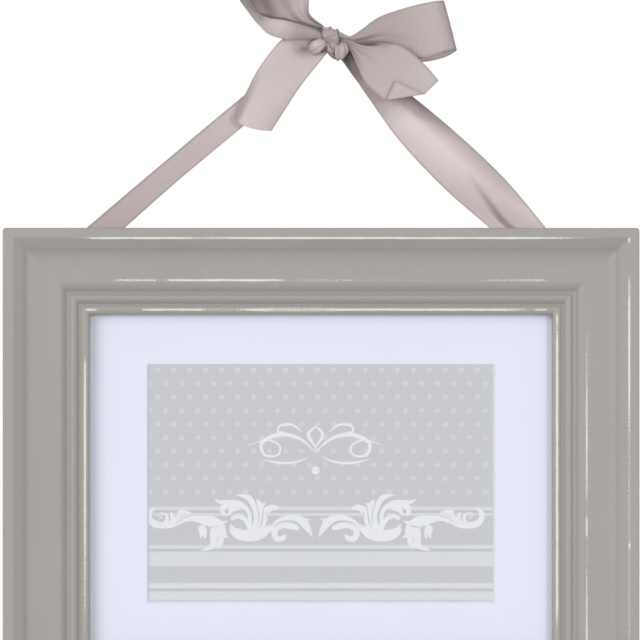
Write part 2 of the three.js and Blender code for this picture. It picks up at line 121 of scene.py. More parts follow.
# %% A socket that can be used in a sum
class Wire:
    """A shader socket. Arithmetic on it adds Math nodes to its tree."""

    def __init__(self, tree, socket=None):
        self.tree = tree
        self.socket = socket

    def node(self, kind, settings=None, inputs=None, output=0):
        """Adds a node. A ramp's stops are pairs of a place and a colour."""
        made = self.tree.nodes.new(kind)
        for name, value in (settings or {}).items():
            if name == "stops":
                ramp = made.color_ramp.elements
                for stop, (place, colour) in zip((ramp[1], ramp[0]), (value[-1], value[0])):
                    stop.position = place
                    stop.color = colour
                for place, colour in value[1:-1]:
                    ramp.new(place).color = colour
            else:
                setattr(made, name, value)
        for name, value in (inputs or {}).items():
            if isinstance(value, Wire):
                self.tree.links.new(value.socket, made.inputs[name])
            else:
                made.inputs[name].default_value = value
        return Wire(self.tree, made.outputs[output] if made.outputs else None)

    def math(self, operation, *values):
        """Adds a Math node."""
        return self.node("ShaderNodeMath", {"operation": operation}, dict(enumerate(values)))

    def __add__(self, other):
        return self.math("ADD", self, other)

    def __sub__(self, other):
        return self.math("SUBTRACT", self, other)

    def __rsub__(self, other):
        return self.math("SUBTRACT", other, self)

    def __mul__(self, other):
        return self.math("MULTIPLY", self, other)

    def __truediv__(self, other):
        return self.math("DIVIDE", self, other)

    def __abs__(self):
        return self.math("ABSOLUTE", self)

    __radd__ = __add__
    __rmul__ = __mul__

    def between(self, low, high):
        """0 at low and below, 1 at high and above, smooth in between."""
        settings = {"interpolation_type": "SMOOTHSTEP"}
        return self.node("ShaderNodeMapRange", settings, {0: self, 1: low, 2: high})

    def mix(self, first, second):
        """The first colour where this is 0 and the second where it is 1."""
        settings = {"data_type": "RGBA"}
        return self.node("ShaderNodeMix", settings, {0: self, 6: first, 7: second}, output=2)

    def into(self, shader, name):
        """Joins this socket to one of a shader's inputs."""
        self.tree.links.new(self.socket, shader.inputs[name])


print("sums of sockets ready")

# %% [markdown]
# ## Starting a finish
#
# Every finish here is one Principled shader. What is the same all over is set on its own sockets, and
# what changes over the surface is wired in: a place in the piece's own space, a number that the mesh
# stores on its points, noise, and a bump. A helper for each of these keeps the finishes short.


# %% Starting a finish
def srgb(red, green, blue):
    """A colour as a screen shows it, from 0 to 255, as the linear values that a shader takes."""
    share = np.array([red, green, blue]) / 255
    linear = np.where(share <= 0.04045, share / 12.92, ((share + 0.055) / 1.055) ** 2.4)
    return (*linear.tolist(), 1.0)


def new_finish(name, **constants):
    """A material with one Principled shader, whose constants are set on its own sockets."""
    finish = bpy.data.materials.new(name)
    finish.use_nodes = True
    tree = finish.node_tree
    tree.nodes.clear()
    shader = tree.nodes.new("ShaderNodeBsdfPrincipled")
    output = tree.nodes.new("ShaderNodeOutputMaterial")
    tree.links.new(shader.outputs[0], output.inputs[0])
    for socket, value in constants.items():
        shader.inputs[socket.replace("_", " ")].default_value = value
    return finish, Wire(tree), shader


def field(wire, name):
    """A number stored on the points of the mesh."""
    return wire.node("ShaderNodeAttribute", {"attribute_name": name}, output="Fac")


def spot(wire):
    """Where a point of the surface is, in metres, in the piece's own space."""
    return wire.node("ShaderNodeTexCoord", output="Object")


def vector(wire, x, y, z):
    """Three numbers as one place for a noise to read."""
    return wire.node("ShaderNodeCombineXYZ", {}, {0: x, 1: y, 2: z})


def grain(wire, place, scale, detail=3.0):
    """Noise from 0 to 1, with about scale lumps in each unit of place."""
    inputs = {"Vector": place, "Scale": scale, "Detail": detail}
    return wire.node("ShaderNodeTexNoise", {}, inputs)


def bumped(wire, shader, height, depth):
    """Height from 0 to 1 as a bump of that depth in metres."""
    inputs = {"Height": height, "Distance": depth, "Strength": 1.0}
    wire.node("ShaderNodeBump", {}, inputs, "Normal").into(shader, "Normal")


print("helpers for finishes ready")

# %% [markdown]
# ## Surroundings
#
# The background is white to the camera and in reflections, while the light that it throws on the
# object is weaker, so that pale surfaces keep their colour. The world's shader asks what kind of ray
# has come and changes its strength. A brighter lamp would bleach the object as well.

# %% White surroundings
FILL = 0.38
world = bpy.data.worlds.new("white_room")
bpy.context.scene.world = world
world.use_nodes = True
world.node_tree.nodes.clear()
sky = Wire(world.node_tree)
rays = ("Camera", "Glossy", "Transmission")
seen, mirrored, passed = [sky.node("ShaderNodeLightPath", output=f"Is {ray} Ray") for ray in rays]
shown = sky.math("MAXIMUM", seen, sky.math("MAXIMUM", mirrored, passed))
white = {"Color": (1, 1, 1, 1), "Strength": FILL + (1 - FILL) * shown}
background = sky.node("ShaderNodeBackground", {}, white)
sky.node("ShaderNodeOutputWorld", {}, {"Surface": background})
print("fill light", FILL)

# %% [markdown]
# ## Meshes from grids
#
# Every new piece is a grid of points worked out with numpy. Two helpers turn grids into meshes: one
# lists the quads between neighbouring points, the other makes the object, turns its faces outwards,
# stores numbers on its points for the shaders, and fastens it to a body of the CAD model.


# %% Grid helpers
def unit(v):
    """Vectors of the same direction with a length of 1."""
    return v / np.maximum(np.linalg.norm(v, axis=-1, keepdims=True), 1e-12)


def quads(rows, columns, loop=False, ring=False):
    """Quads between neighbours on a grid. loop joins the last column to the first, ring the last row."""
    index = np.arange(rows * columns).reshape(rows, columns)
    if loop:
        index = np.hstack([index, index[:, :1]])
    if ring:
        index = np.vstack([index, index[:1]])
    corners = index[:-1, :-1], index[1:, :-1], index[1:, 1:], index[:-1, 1:]
    return np.stack(corners, -1).reshape(-1, 4).tolist()


def make_piece(name, points, faces, finishes, body=None, fields=None, kinds=None, crease=40):
    """A mesh from points in millimetres, smooth except where faces meet at more than crease degrees."""
    mesh = bpy.data.meshes.new(name)
    mesh.from_pydata((np.asarray(points).reshape(-1, 3) * MM).tolist(), [], faces)
    for key, values in (fields or {}).items():
        layer = mesh.attributes.new(key, "FLOAT", "POINT")
        layer.data.foreach_set("value", np.asarray(values, np.float32).ravel())
    for finish in finishes:
        mesh.materials.append(finish)
    if kinds is not None:
        mesh.polygons.foreach_set("material_index", np.asarray(kinds, np.int32))
    shell = bmesh.new()
    shell.from_mesh(mesh)
    bmesh.ops.recalc_face_normals(shell, faces=shell.faces)
    shell.to_mesh(mesh)
    shell.free()
    mesh.polygons.foreach_set("use_smooth", np.ones(len(mesh.polygons), bool))
    mesh.set_sharp_from_angle(angle=math.radians(crease))
    piece = bpy.data.objects.new(name, mesh)
    bpy.context.scene.collection.objects.link(piece)
    if body:
        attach(piece, body)
    print(name, len(mesh.vertices), "points")
    return piece


print("grid helpers ready")

# %% [markdown]
# ## Floor
#
# A pale round floor lies just under the frame, for the views in which it shows. It is a flat disc with
# a rim, turned from three rings of points, in matt plaster with a faint speckle.

# %% Floor
FLOOR_SIDES = 96
plaster, wire, shader = new_finish("pale_floor", Roughness=0.8)
speck = grain(wire, spot(wire), 60)
speck.mix(srgb(236, 236, 235), srgb(241, 241, 240)).into(shader, "Base Color")
# the radius times the cosine and sine of the turn, at each level
turn = np.linspace(0, 2 * np.pi, FLOOR_SIDES, endpoint=False)
radius = np.array([600, 600, 0.1])[:, None]
level = np.array([-336, -334.3, -334.3])[:, None]
disc = np.stack(np.broadcast_arrays(radius * np.cos(turn), radius * np.sin(turn), level), -1)
foot = list(range(FLOOR_SIDES))
middle = [2 * FLOOR_SIDES + i for i in foot]
floor = make_piece("floor", disc, quads(3, FLOOR_SIDES, loop=True) + [foot, middle], [plaster])

# %% [markdown]
# ## Section of the moulding
#
# The four rails are one moulding, cut at 45 degrees: an outer fillet, a wide cove, an ovolo, a bead
# and a rounded lip. The CAD rails have the same section in few facets. Here it is a chain of Bezier
# curves with softened arrises, so that the satin paint shades smoothly. A modelled section is better
# than a bump, because its steps throw real shadows.

# %% Section of the moulding
FACE_START = (0, 0.4)
FACE = [
    # steps, then the corners after the one where the last curve ended: inward from the edge, and height
    (3, (0, 19)),
    (8, (0, 20), (1, 20)),
    (3, (4.3, 20)),
    (6, (4.95, 20), (5.4, 19.78)),
    (4, (9.2, 17.84)),
    (5, (9.9, 17.46), (10.5, 17.0)),
    (28, (11.7, 16.1), (13.2, 14.95), (20.5, 14.75)),
    (6, (23, 14.75), (25.2, 15.1)),
    (4, (25.7, 15.19), (26.2, 15.2)),
    (16, (28.9, 15.1), (30.6, 13.4)),
    (6, (31.3, 12.7), (31.9, 12.65)),
    (6, (32.4, 12.62), (32.9, 13.02)),
    (8, (33.9, 13.82), (34.9, 13.5)),
    (8, (36.1, 13.1), (36.9, 12.1)),
    (6, (37.2, 11.72), (37.6, 11.7)),
    (6, (37.95, 11.7), (38.3, 12.0)),
    (6, (38.9, 12.5), (39.6, 12.58)),
    (5, (40.1, 12.64), (40.6, 12.5)),
    (8, (42.3, 12.1), (42.5, 11.2)),
    (3, (42.5, 7)),
]


def bezier(corners, steps):
    """
    Points on a Bezier curve: the corners, each weighted by its Bernstein polynomial. The last corner is
    left out, because the next curve starts there.
    """
    t = np.linspace(0, 1, steps + 1)[:-1, None]
    n = len(corners) - 1
    k = np.arange(n + 1)
    weights = np.array([math.comb(n, i) for i in k]) * t**k * (1 - t) ** (n - k)
    return weights @ np.array(corners, float)


ends = [FACE_START] + [corners[-1] for steps, *corners in FACE]
painted = np.vstack([bezier([end, *corners], steps) for end, (steps, *corners) in zip(ends, FACE)])
unpainted = np.array([(42.5, 7), (36, 7), (36, 0.3), (35.7, 0), (18, 0), (0.3, 0)], float)
section = np.vstack([painted, unpainted])
print("section points:", len(section))

# %% [markdown]
# ## Satin paint, rubbed through
#
# The paint is a taupe grey with a soft sheen. Along the arrises it is rubbed through to a cream
# undercoat, in thin broken lines that swell to a speckled patch where hands have worn it most. In the
# grooves the colour is a little darker. Each rail stores how far every point is from its outer edge and
# how worn the nearest arris is there. The shader draws a thin wavering line at each arris and lets noise
# break it up. Painting by distance keeps the lines sharp at any zoom.

# %% Paint
ARRISES = (5.0, 25.7, 40.2)
GROOVES = (32.3, 37.6)
paint, wire, shader = new_finish("satin_paint", Specular_IOR_Level=0.45)
inward = field(wire, "inward")
run = field(wire, "run")
worn = field(wire, "worn")
brush = grain(wire, vector(wire, run * 0.02, inward * 0.9, 0.0), 3.0, 4.0)
cloud = grain(wire, spot(wire), 14.0, 2.0)
chips = grain(wire, vector(wire, run * 0.5, inward * 1.3, 0.0), 2.2, 4.0) * 3.2 - 1.1
patch = grain(wire, vector(wire, run * 0.09, inward * 0.05, 0.0), 1.0, 3.0)
waver = (grain(wire, vector(wire, run * 0.05, 0.0, 0.0), 1.0) - 0.5) * 0.4
fillet, ovolo, lip = [abs(inward + waver - arris) for arris in ARRISES]
nearest = wire.math("MINIMUM", fillet, wire.math("MINIMUM", ovolo, lip))
broad = worn.between(1.0, 1.5)
half_line = 0.12 + 0.6 * patch + (0.2 + broad) * chips
line = 1 - nearest.between(0.3 * half_line, 1.4 * half_line)
held = wire.math("MINIMUM", worn, 1.0)
breaks = chips * (1 + broad) + 0.3 * patch
rubbed = line * (0.12 * held + 0.86 * (held * 1.35 - breaks).between(-0.1, 0.25))
deepest = wire.math("MINIMUM", *[abs(inward - groove) for groove in GROOVES])
shade = cloud.mix(srgb(160, 156, 152), srgb(166, 162, 158))
streak = (brush * 0.5).mix(shade, srgb(156, 152, 148))
# the colour is darkened towards the middle of each groove
groove_darkened = ((1 - deepest.between(0.1, 1.1)) * 0.2).mix(streak, srgb(118, 114, 110))
rubbed.mix(groove_darkened, srgb(241, 237, 230)).into(shader, "Base Color")
(0.4 + 0.12 * brush + 0.2 * rubbed).into(shader, "Roughness")
bumped(wire, shader, 0.25 * brush - 0.6 * rubbed, 0.00012)
print("arrises at", ARRISES, "mm from the outer edge")

# %% [markdown]
# ## Bare wood
#
# The back of the rails is left unpainted, as on most frames. Long noise along the rail gives the year
# rings, and finer noise the pores. Both read the length along the rail and the distance from its edge,
# so the grain turns with each rail and meets at the mitres.

# %% Bare wood
bare_wood, wire, shader = new_finish("bare_wood", Specular_IOR_Level=0.3)
run = field(wire, "run")
inward = field(wire, "inward")
rings = grain(wire, vector(wire, run * 0.012, inward * 0.35, 0.0), 4.0, 6.0)
pores = grain(wire, vector(wire, run * 0.12, inward * 3.0, 0.0), 2.0, 3.0)
ringed = rings.between(0.3, 0.7).mix(srgb(196, 166, 124), srgb(222, 197, 158))
(pores.between(0.55, 0.75) * 0.5).mix(ringed, srgb(168, 136, 96)).into(shader, "Base Color")
(0.62 + 0.2 * rings).into(shader, "Roughness")
bumped(wire, shader, rings * 0.5 + pores * 0.5, 0.0001)
print("bare wood ready")

# %% [markdown]
# ## Where the paint is worn
#
# For each rail, three lists say how worn the fillet, the ovolo's arris and the lip are along it, as
# pairs of a place in millimetres from the rail's middle and a strength. 1 is a full line, and more
# than 1 a broad patch. Between the pairs the strength runs straight. The lines are long on the top and
# right rails and almost missing on the left. The bottom rail lies below the picture, so its wear is a
# guess.

# %% Wear along the rails
NONE = [(0, 0.0)]
wear = {
    "rail_top": (
        [(-121, 0), (-111, 0.8), (-75, 1), (-60, 0.6), (-46, 0.7), (-38, 1), (40, 0.95), (52, 0.8),
         (60, 1), (105, 0.9), (122, 0.5), (132, 0.3), (140, 0)],
        [(-104, 0), (-100, 0.6), (-82, 0.65), (-78, 0.1), (-74, 0.75), (-55, 0.95), (-30, 0.95),
         (-20, 0.6), (-14, 0.1), (-8, 0.4), (14, 0.42), (20, 0.2), (38, 0.3), (42, 0.15), (78, 0.15),
         (83, 0.45), (95, 0.5), (104, 0.55), (109, 0.65), (113, 0)],
        [(-117, 0), (-114.5, 0.85), (-111, 0.75), (-109, 0), (-90, 0), (-87, 0.75), (-60, 0.85),
         (-56, 0.4), (-40, 0.45), (-37, 0.8), (-28, 1.25), (-20, 1.4), (0, 1.4), (8, 1.2), (14, 0.85),
         (60, 0.9), (88, 0.85), (100, 0.5), (104, 0.1), (106, 0.75), (110.5, 0.65), (112, 0)],
    ),
    "rail_right": (
        [(-123.4, 0), (-122, 1), (-119.5, 1), (-118.5, 0), (-104, 0), (-101, 0.5), (-92, 0.75),
         (-85, 0.9), (-45, 0.85), (-32, 0.6), (-20, 0.45), (24, 0.4), (29.5, 0.4), (30.5, 1), (31.5, 0.4),
         (77, 0.4), (110, 0)],
        [(-77, 0), (-73, 0.4), (-52, 0.5), (-45, 0.65), (-22, 0.75), (-8, 0.7), (6, 0.55), (10, 0.3),
         (15, 0.35), (18, 0.75), (24, 0.75), (27, 0.35), (44, 0.4), (50, 0.55), (64, 0.65), (77, 0.75),
         (95, 0.3), (105, 0)],
        [(-86, 0), (-82, 0.75), (-76, 0.55), (-70, 0.95), (-20, 1), (20, 1), (60, 0.85), (70, 0.45),
         (84, 0)],
    ),
    "rail_bottom": (
        [(-135, 0), (-110, 0.7), (-20, 0.95), (30, 0.8), (70, 0.4), (110, 0)],
        [(-90, 0), (-70, 0.5), (0, 0.3), (40, 0.6), (80, 0)],
        [(-108, 0), (-95, 0.7), (-10, 0.85), (20, 0.4), (60, 0.8), (100, 0)],
    ),
    "rail_left": (
        NONE,
        NONE,
        [(-84, 0), (-60, 0.5), (0, 0.9), (40, 0.9), (58, 0.75), (66, 0)],
    ),
}
print("worn places:", sum(len(line) for lines in wear.values() for line in lines))

# %% [markdown]
# ## Four rails
#
# A rail is the section carried along a straight line, each point as far as its own mitre. The outer
# corners of the frame are slightly rounded off. The rails meet with no more than a hair line, as the
# paint on the real ones bridges the joints.

# %% Rails
# millimetres: outer size of the frame, its middle, the round of a corner and half of a joint's hair line
WIDE = 313
TALL = 252
MID_X = -9
MID_Z = -208
CORNER = 1.6
HAIR = 0.002


def carry_rail(name, length, middle, along, inwards):
    """
    Point (run, inward, height): run goes from mitre to mitre, and the outer edge gives way to an arc at
    the corner, whose depth is the radius less the root of the squared radius less the squared way past.
    """
    u, h = section.T
    tip = CORNER * (1 - math.sqrt(0.5))
    # rows stand closer together near the mitres
    close = 1 - np.geomspace(0.0015, 0.05, 8)
    share = np.concatenate([[-1], -close, np.linspace(-0.94, 0.94, 110), close[::-1], [1]])
    run = share[:, None] * (length / 2 - np.maximum(u, tip) - HAIR)
    past = np.clip(np.abs(run) - (length / 2 - CORNER), 0, CORNER)
    inward = np.maximum(u, CORNER - np.sqrt(CORNER**2 - past**2))
    plan = np.array(middle) + run[..., None] * np.array(along) + inward[..., None] * np.array(inwards)
    height = np.broadcast_to(h, run.shape)
    points = np.stack([plan[..., 0], -height, plan[..., 1]], -1)
    strengths = [np.interp(run, *np.array(pairs, float).T) for pairs in wear[name]]
    nearest = np.argmin(np.abs(u[:, None] - np.array(ARRISES)), axis=1)
    worn = np.choose(np.broadcast_to(nearest, run.shape), strengths)
    rows, columns = run.shape
    caps = [list(range(columns)), list(range((rows - 1) * columns, rows * columns))]
    faces = quads(rows, columns, loop=True) + caps
    bare = np.tile(np.arange(columns) >= len(painted), rows - 1)
    kinds = np.concatenate([bare, [True, True]]).astype(int)
    fields = {"run": run, "inward": np.broadcast_to(u, run.shape), "worn": worn}
    rail = make_piece(
        "moulded_" + name, points, faces, [paint, bare_wood], "frame",
        fields=fields, kinds=kinds, crease=32,
    )
    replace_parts(rail, name)


carry_rail("rail_top", WIDE, (MID_X, MID_Z + TALL / 2), (1, 0), (0, -1))
carry_rail("rail_right", TALL, (MID_X + WIDE / 2, MID_Z), (0, -1), (-1, 0))
carry_rail("rail_bottom", WIDE, (MID_X, MID_Z - TALL / 2), (-1, 0), (0, 1))
carry_rail("rail_left", TALL, (MID_X - WIDE / 2, MID_Z), (0, 1), (1, 0))

# %% [markdown]
# ## Glass
#
# The pane is plain picture glass. It hardly shows from the front, so it is a nearly clear surface
# with a faint gloss. Alpha is used and not refraction: the light then falls through it on the
# mat, and a thin flat pane bends nothing that can be seen. The CAD pane keeps its shape.

# %% Glass
glass, wire, shader = new_finish("picture_glass", Alpha=0.06, IOR=1.5)
smear = grain(wire, spot(wire), 25.0)
smear.mix(srgb(232, 240, 238), srgb(240, 245, 244)).into(shader, "Base Color")
(0.02 + 0.04 * smear).into(shader, "Roughness")


def refinish(node, finish):
    """Gives a CAD node a material and keeps its shape."""
    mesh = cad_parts[node].data
    mesh.materials.clear()
    mesh.materials.append(finish)
    print(node, "in", finish.name)


refinish("glass_pane", glass)

# %% [markdown]
# ## Papers of the mat
#
# A mat is thick cardboard faced with paper, here a cool white with a very fine grain. Its window is cut
# at a slant, so a narrow line of the core shows all round. Face and core are two finishes, because the
# cut core is rougher and a little darker than the face.

# %% Mat papers
mat_paper, wire, shader = new_finish("mat_paper", Specular_IOR_Level=0.2)
fibre = grain(wire, spot(wire), 900.0, 4.0)
tone = grain(wire, spot(wire), 12.0, 2.0)
(fibre * 0.6 + tone * 0.4).mix(srgb(234, 236, 255), srgb(238, 240, 255)).into(shader, "Base Color")
(0.82 + 0.1 * fibre).into(shader, "Roughness")
bumped(wire, shader, fibre, 0.00003)

mat_core, wire, shader = new_finish("mat_core", Specular_IOR_Level=0.2)
fibre = grain(wire, spot(wire), 1400.0, 4.0)
fibre.mix(srgb(228, 230, 242), srgb(234, 236, 247)).into(shader, "Base Color")
(0.85 + 0.1 * fibre).into(shader, "Roughness")
print("mat papers ready")

# %% [markdown]
# ## Mat board
#
# The board is a rectangular ring: its cross section, with the slanted cut, goes round the window and
# has square corners. A plate with a cut-out would need a Boolean and give worse faces.

# %% Mat board
ring_section = np.array([
    # half width, half height and depth of each point of the cross section
    (120, 89.5, -3.4),
    (120, 89.5, -4.7),
    (119.9, 89.4, -4.8),
    (86.1, 59.1, -4.8),
    (85.95, 58.95, -4.74),
    (85, 58, -3.4),
])
corners = np.array([(-1, -1), (1, -1), (1, 1), (-1, 1)])
across = MID_X + corners[:, :1] * ring_section[:, 0]
upward = MID_Z + corners[:, 1:] * ring_section[:, 1]
board = np.stack([across, np.broadcast_to(ring_section[:, 2], across.shape), upward], -1)
kinds = np.tile([0, 0, 0, 1, 1, 0], 4)
faces = quads(4, 6, loop=True, ring=True)
papers = [mat_paper, mat_core]
mat = make_piece("bevelled_mat", board, faces, papers, "frame", kinds=kinds, crease=20)
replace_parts(mat, "mat_board")

# %% [markdown]
# ## Dots of the printed insert
#
# Behind the mat lies a printed card: a cool grey ground with staggered rows of pale dots, and a few
# pale and dark stripes near the foot. The dots follow from the height and the place across, so they are
# a sum in the shader: a row's number is the height divided by the row spacing, every second row is
# moved half a step, and a dot is what lies near enough to the middle of its cell.

# %% Dots
PITCH = 7.9 * MM
ROW = 6.68 * MM
card, wire, shader = new_finish("printed_card", Specular_IOR_Level=0.3)
sides = wire.node("ShaderNodeSeparateXYZ", {}, {0: spot(wire)}, "X")
height = wire.node("ShaderNodeSeparateXYZ", {}, {0: spot(wire)}, "Z")
row_place = (height + 152.03 * MM) / ROW + 0.5
row = wire.math("FLOOR", row_place)
odd = abs(wire.math("MODULO", row, 2.0))
column_place = (sides + 89.7 * MM) / PITCH + 0.5 + odd * 0.5
off_side = (wire.math("FRACT", column_place) - 0.5) * PITCH
off_height = (row_place - row - 0.5) * ROW
away = wire.math("SQRT", off_side * off_side + off_height * off_height)
dots = (1 - away.between(0.6 * MM, 1.8 * MM)) * height.between(-214.6 * MM, -214.4 * MM)
print("dots every", PITCH / MM, "by", ROW / MM, "mm")

# %% [markdown]
# ## Stripes of the printed insert
#
# The stripes were printed in the same pass as the dots. A ramp over the height gives them all at once:
# two stops hold each stripe's colour, and the short way to the next stripe is its soft printed edge.

# %% Stripes
GROUND = srgb(200, 200, 205)
DARK = srgb(193, 194, 199)
PALE = srgb(221, 222, 227)
LINE = srgb(223, 224, 229)
TOP = -200.0
FOOT = -268.0
STRIPES = [
    # from and to in millimetres, and the colour
    (-267.0, -266.0, DARK),
    (-265.4, -261.6, PALE),
    (-261.1, -260.2, DARK),
    (-259.7, -257.5, LINE),
    (-257.0, -249.4, GROUND),
    (-248.8, -242.1, PALE),
    (-241.4, -240.6, DARK),
    (-240.1, -238.9, LINE),
    (-238.3, -224.3, GROUND),
    (-223.8, -222.9, LINE),
    (-222.5, -221.7, DARK),
    (-221.1, -219.9, PALE),
    (-219.2, -201.0, GROUND),
]
stops = [((edge - FOOT) / (TOP - FOOT), colour) for *edges, colour in STRIPES for edge in edges]
share = (height - FOOT * MM) / ((TOP - FOOT) * MM)
stripes = wire.node("ShaderNodeValToRGB", {"stops": stops}, {0: share})
paper = grain(wire, spot(wire), 700.0, 3.0)
printed = (dots * 0.85).mix(stripes, srgb(217, 218, 223))
(paper * 0.12).mix(printed, srgb(190, 192, 197)).into(shader, "Base Color")
(0.5 + 0.12 * paper).into(shader, "Roughness")
refinish("photo_print", card)

# %% [markdown]
# ## Smooth lines and thin sheets
#
# Ink strokes and ribbons are the same kind of thing: a smooth line through a few chosen points, with
# something laid across it. One helper gives the line. Another turns any grid into a thin closed sheet,
# with two faces and a rim, so that nothing has an open edge.


# %% Lines and sheets
def through(rows, t):
    """A smooth curve through each row of numbers: cubic pieces with slopes from the neighbours."""
    rows = np.asarray(rows, float)
    wide = np.vstack([2 * rows[0] - rows[1], rows, 2 * rows[-1] - rows[-2]])
    place = np.clip(t, 0, 1) * (len(rows) - 1)
    i = np.minimum(place.astype(int), len(rows) - 2)
    f = (place - i)[:, None]
    before, start, end, after = (wide[i + k] for k in range(4))
    leave = (end - before) / 2
    arrive = (after - start) / 2
    return (
        (2 * f**3 - 3 * f**2 + 1) * start
        + (f**3 - 2 * f**2 + f) * leave
        + (3 * f**2 - 2 * f**3) * end
        + (f**3 - f**2) * arrive
    )


def sheet_solid(grid, thickness, ring=False):
    """Both faces of a sheet half a thickness to each side of a grid, joined round the edges."""
    down = np.gradient(grid, axis=0)
    if ring:
        down = (np.roll(grid, -1, axis=0) - np.roll(grid, 1, axis=0)) / 2
    lift = unit(np.cross(down, np.gradient(grid, axis=1))) * thickness / 2
    points = np.concatenate([grid + lift, (grid - lift)[:, ::-1]], axis=1)
    rows, columns = points.shape[:2]
    faces = quads(rows, columns, loop=True, ring=ring)
    if not ring:
        first = np.arange(columns // 2 - 1)
        ends = np.stack([first, first + 1, columns - 2 - first, columns - 1 - first], -1)
        faces += ends.tolist() + (ends[:, ::-1] + (rows - 1) * columns).tolist()
    return points, faces


print("lines and sheets ready")

# %% [markdown]
# ## Ink
#
# The card carries white ornament. Each leaf of it is a pen stroke, a smooth line through a few points
# with a width that swells and tapers, which is how such scrolls are drawn. A stroke is a thin solid
# like a layer of ink, and every stroke lies a hair in front of the last, so that none flicker where
# they cross. Drawn on one side, it is mirrored to the other.

# %% Ink strokes
INK_Y = -3.33
INK_THICKNESS = 0.03
PEN_POINT = 0.06


def stroke(places, widths, depth, mirror):
    """A pen stroke: a line through the places, with half of its width to each side."""
    t = np.linspace(0, 1, 12 * len(places))
    line = through(places, t) * (mirror, 1)
    half = np.maximum(through(np.array(widths, float)[:, None], t), PEN_POINT) / 2
    slope = unit(np.gradient(line, axis=0))
    side = np.stack([-slope[:, 1], slope[:, 0]], -1) * half
    flat = np.stack([line - side, line, line + side], axis=1)
    level = np.broadcast_to((depth - 0.02 * t)[:, None], flat.shape[:2])
    return np.stack([flat[..., 0], level, flat[..., 1]], -1)


def ink_piece(name, strokes, x, z, colour, front=0.0):
    """All strokes and their mirror images in one mesh, each at its own tiny depth."""
    points, faces, count = [], [], 0
    for i, (places, widths) in enumerate(strokes):
        for mirror in (1, -1):
            depth = INK_Y - front - 0.004 * i - 0.002 * (mirror > 0)
            grid = stroke(places, widths, depth, mirror) + (x, 0, z)
            solid, quads_of = sheet_solid(grid, INK_THICKNESS)
            points.append(solid.reshape(-1, 3))
            faces += (np.array(quads_of) + count).tolist()
            count += points[-1].shape[0]
    make_piece(name, np.vstack(points), faces, [colour], "frame")


def ink(name, low, high):
    """A thin layer of printing ink between two shades."""
    finish, wire, shader = new_finish(name, Specular_IOR_Level=0.3)
    press = grain(wire, spot(wire), 500.0, 3.0)
    press.mix(low, high).into(shader, "Base Color")
    (0.5 + 0.1 * press).into(shader, "Roughness")
    return finish


white_ink = ink("white_ink", srgb(234, 234, 240), srgb(240, 240, 246))
grey_ink = ink("grey_ink", srgb(200, 201, 206), srgb(206, 207, 212))
print("inks ready")

# %% [markdown]
# ## Scroll ornament
#
# Across the foot of the card runs a white acanthus scroll, the same to the left and the right: a bowl
# with rising leaves, an arch towards the middle, a drooping leaf and a curled end. Its strokes are
# given in the units of a drawing, across from the middle and down, and brought to millimetres.

# %% Scroll
SCROLL_X = -11.7
SCROLL_Z = -231.0
DRAWN = 0.0553


def from_drawing(strokes):
    """Strokes in millimetres: across from the middle of the drawing, and up from its middle line."""
    return [
        ([((x + 21) * DRAWN, (391 - y) * DRAWN) for x, y in places], [width * DRAWN for width in widths])
        for places, widths in strokes
    ]


scroll = [
    ([(300, 300), (380, 365), (470, 430), (570, 445), (660, 430), (722, 390), (738, 340)],
     [20, 50, 85, 100, 95, 60, 12]),
    ([(540, 440), (572, 350), (610, 296), (668, 272), (712, 282), (722, 304)], [60, 56, 44, 34, 36, 30]),
    ([(480, 420), (440, 300), (418, 225), (370, 192), (325, 196), (302, 210)], [60, 58, 66, 52, 36, 4]),
    ([(505, 400), (470, 290), (466, 210), (470, 160)], [50, 54, 52, 60]),
    ([(470, 220), (458, 172), (422, 155)], [50, 40, 4]),
    ([(474, 210), (486, 150), (510, 120)], [50, 40, 4]),
    ([(530, 400), (506, 290), (522, 200), (560, 125), (605, 92), (692, 80)], [60, 50, 46, 52, 40, 4]),
    ([(562, 380), (572, 255), (612, 186), (680, 156), (760, 150), (830, 144), (882, 116)],
     [36, 36, 42, 58, 56, 36, 4]),
    ([(660, 190), (712, 200), (745, 232), (762, 264)], [50, 56, 36, 8]),
    ([(730, 170), (790, 180), (812, 215), (800, 248), (765, 264)], [60, 66, 44, 34, 6]),
    ([(420, 410), (345, 335), (262, 290), (170, 286), (104, 312), (50, 374), (8, 456)],
     [16, 30, 40, 52, 72, 56, 4]),
    ([(116, 322), (64, 306), (22, 296)], [60, 34, 4]),
    ([(124, 380), (180, 362), (252, 348), (318, 366), (346, 412), (332, 460), (296, 474), (262, 460),
      (246, 436)], [30, 58, 56, 58, 56, 54, 48, 42, 20]),
    ([(786, 456), (830, 380), (900, 322), (1000, 300), (1095, 290), (1170, 318), (1228, 356)],
     [20, 96, 104, 72, 44, 28, 4]),
    ([(850, 350), (868, 430), (882, 500), (920, 548), (1006, 578)], [100, 112, 80, 40, 4]),
    ([(752, 466), (800, 436), (838, 380)], [4, 40, 60]),
    ([(812, 440), (826, 510), (868, 562)], [20, 46, 6]),
    ([(1000, 350), (968, 420), (970, 478)], [60, 46, 4]),
    ([(1016, 370), (1000, 430), (1012, 472)], [30, 30, 4]),
    ([(762, 308), (800, 326), (860, 330)], [4, 28, 60]),
    ([(1088, 240), (1180, 290), (1252, 345), (1335, 352), (1418, 338), (1462, 290), (1460, 236),
      (1408, 188)], [4, 34, 46, 56, 62, 48, 44, 4]),
    ([(1096, 238), (1160, 230), (1206, 250), (1240, 320)], [10, 36, 48, 40]),
    ([(1270, 232), (1262, 290), (1290, 345)], [14, 44, 44]),
    ([(1372, 236), (1318, 256), (1306, 300), (1340, 345)], [10, 26, 34, 40]),
    ([(1330, 280), (1356, 284), (1384, 262)], [10, 14, 4]),
]
ink_piece("scroll_ornament", from_drawing(scroll), SCROLL_X, SCROLL_Z, white_ink)

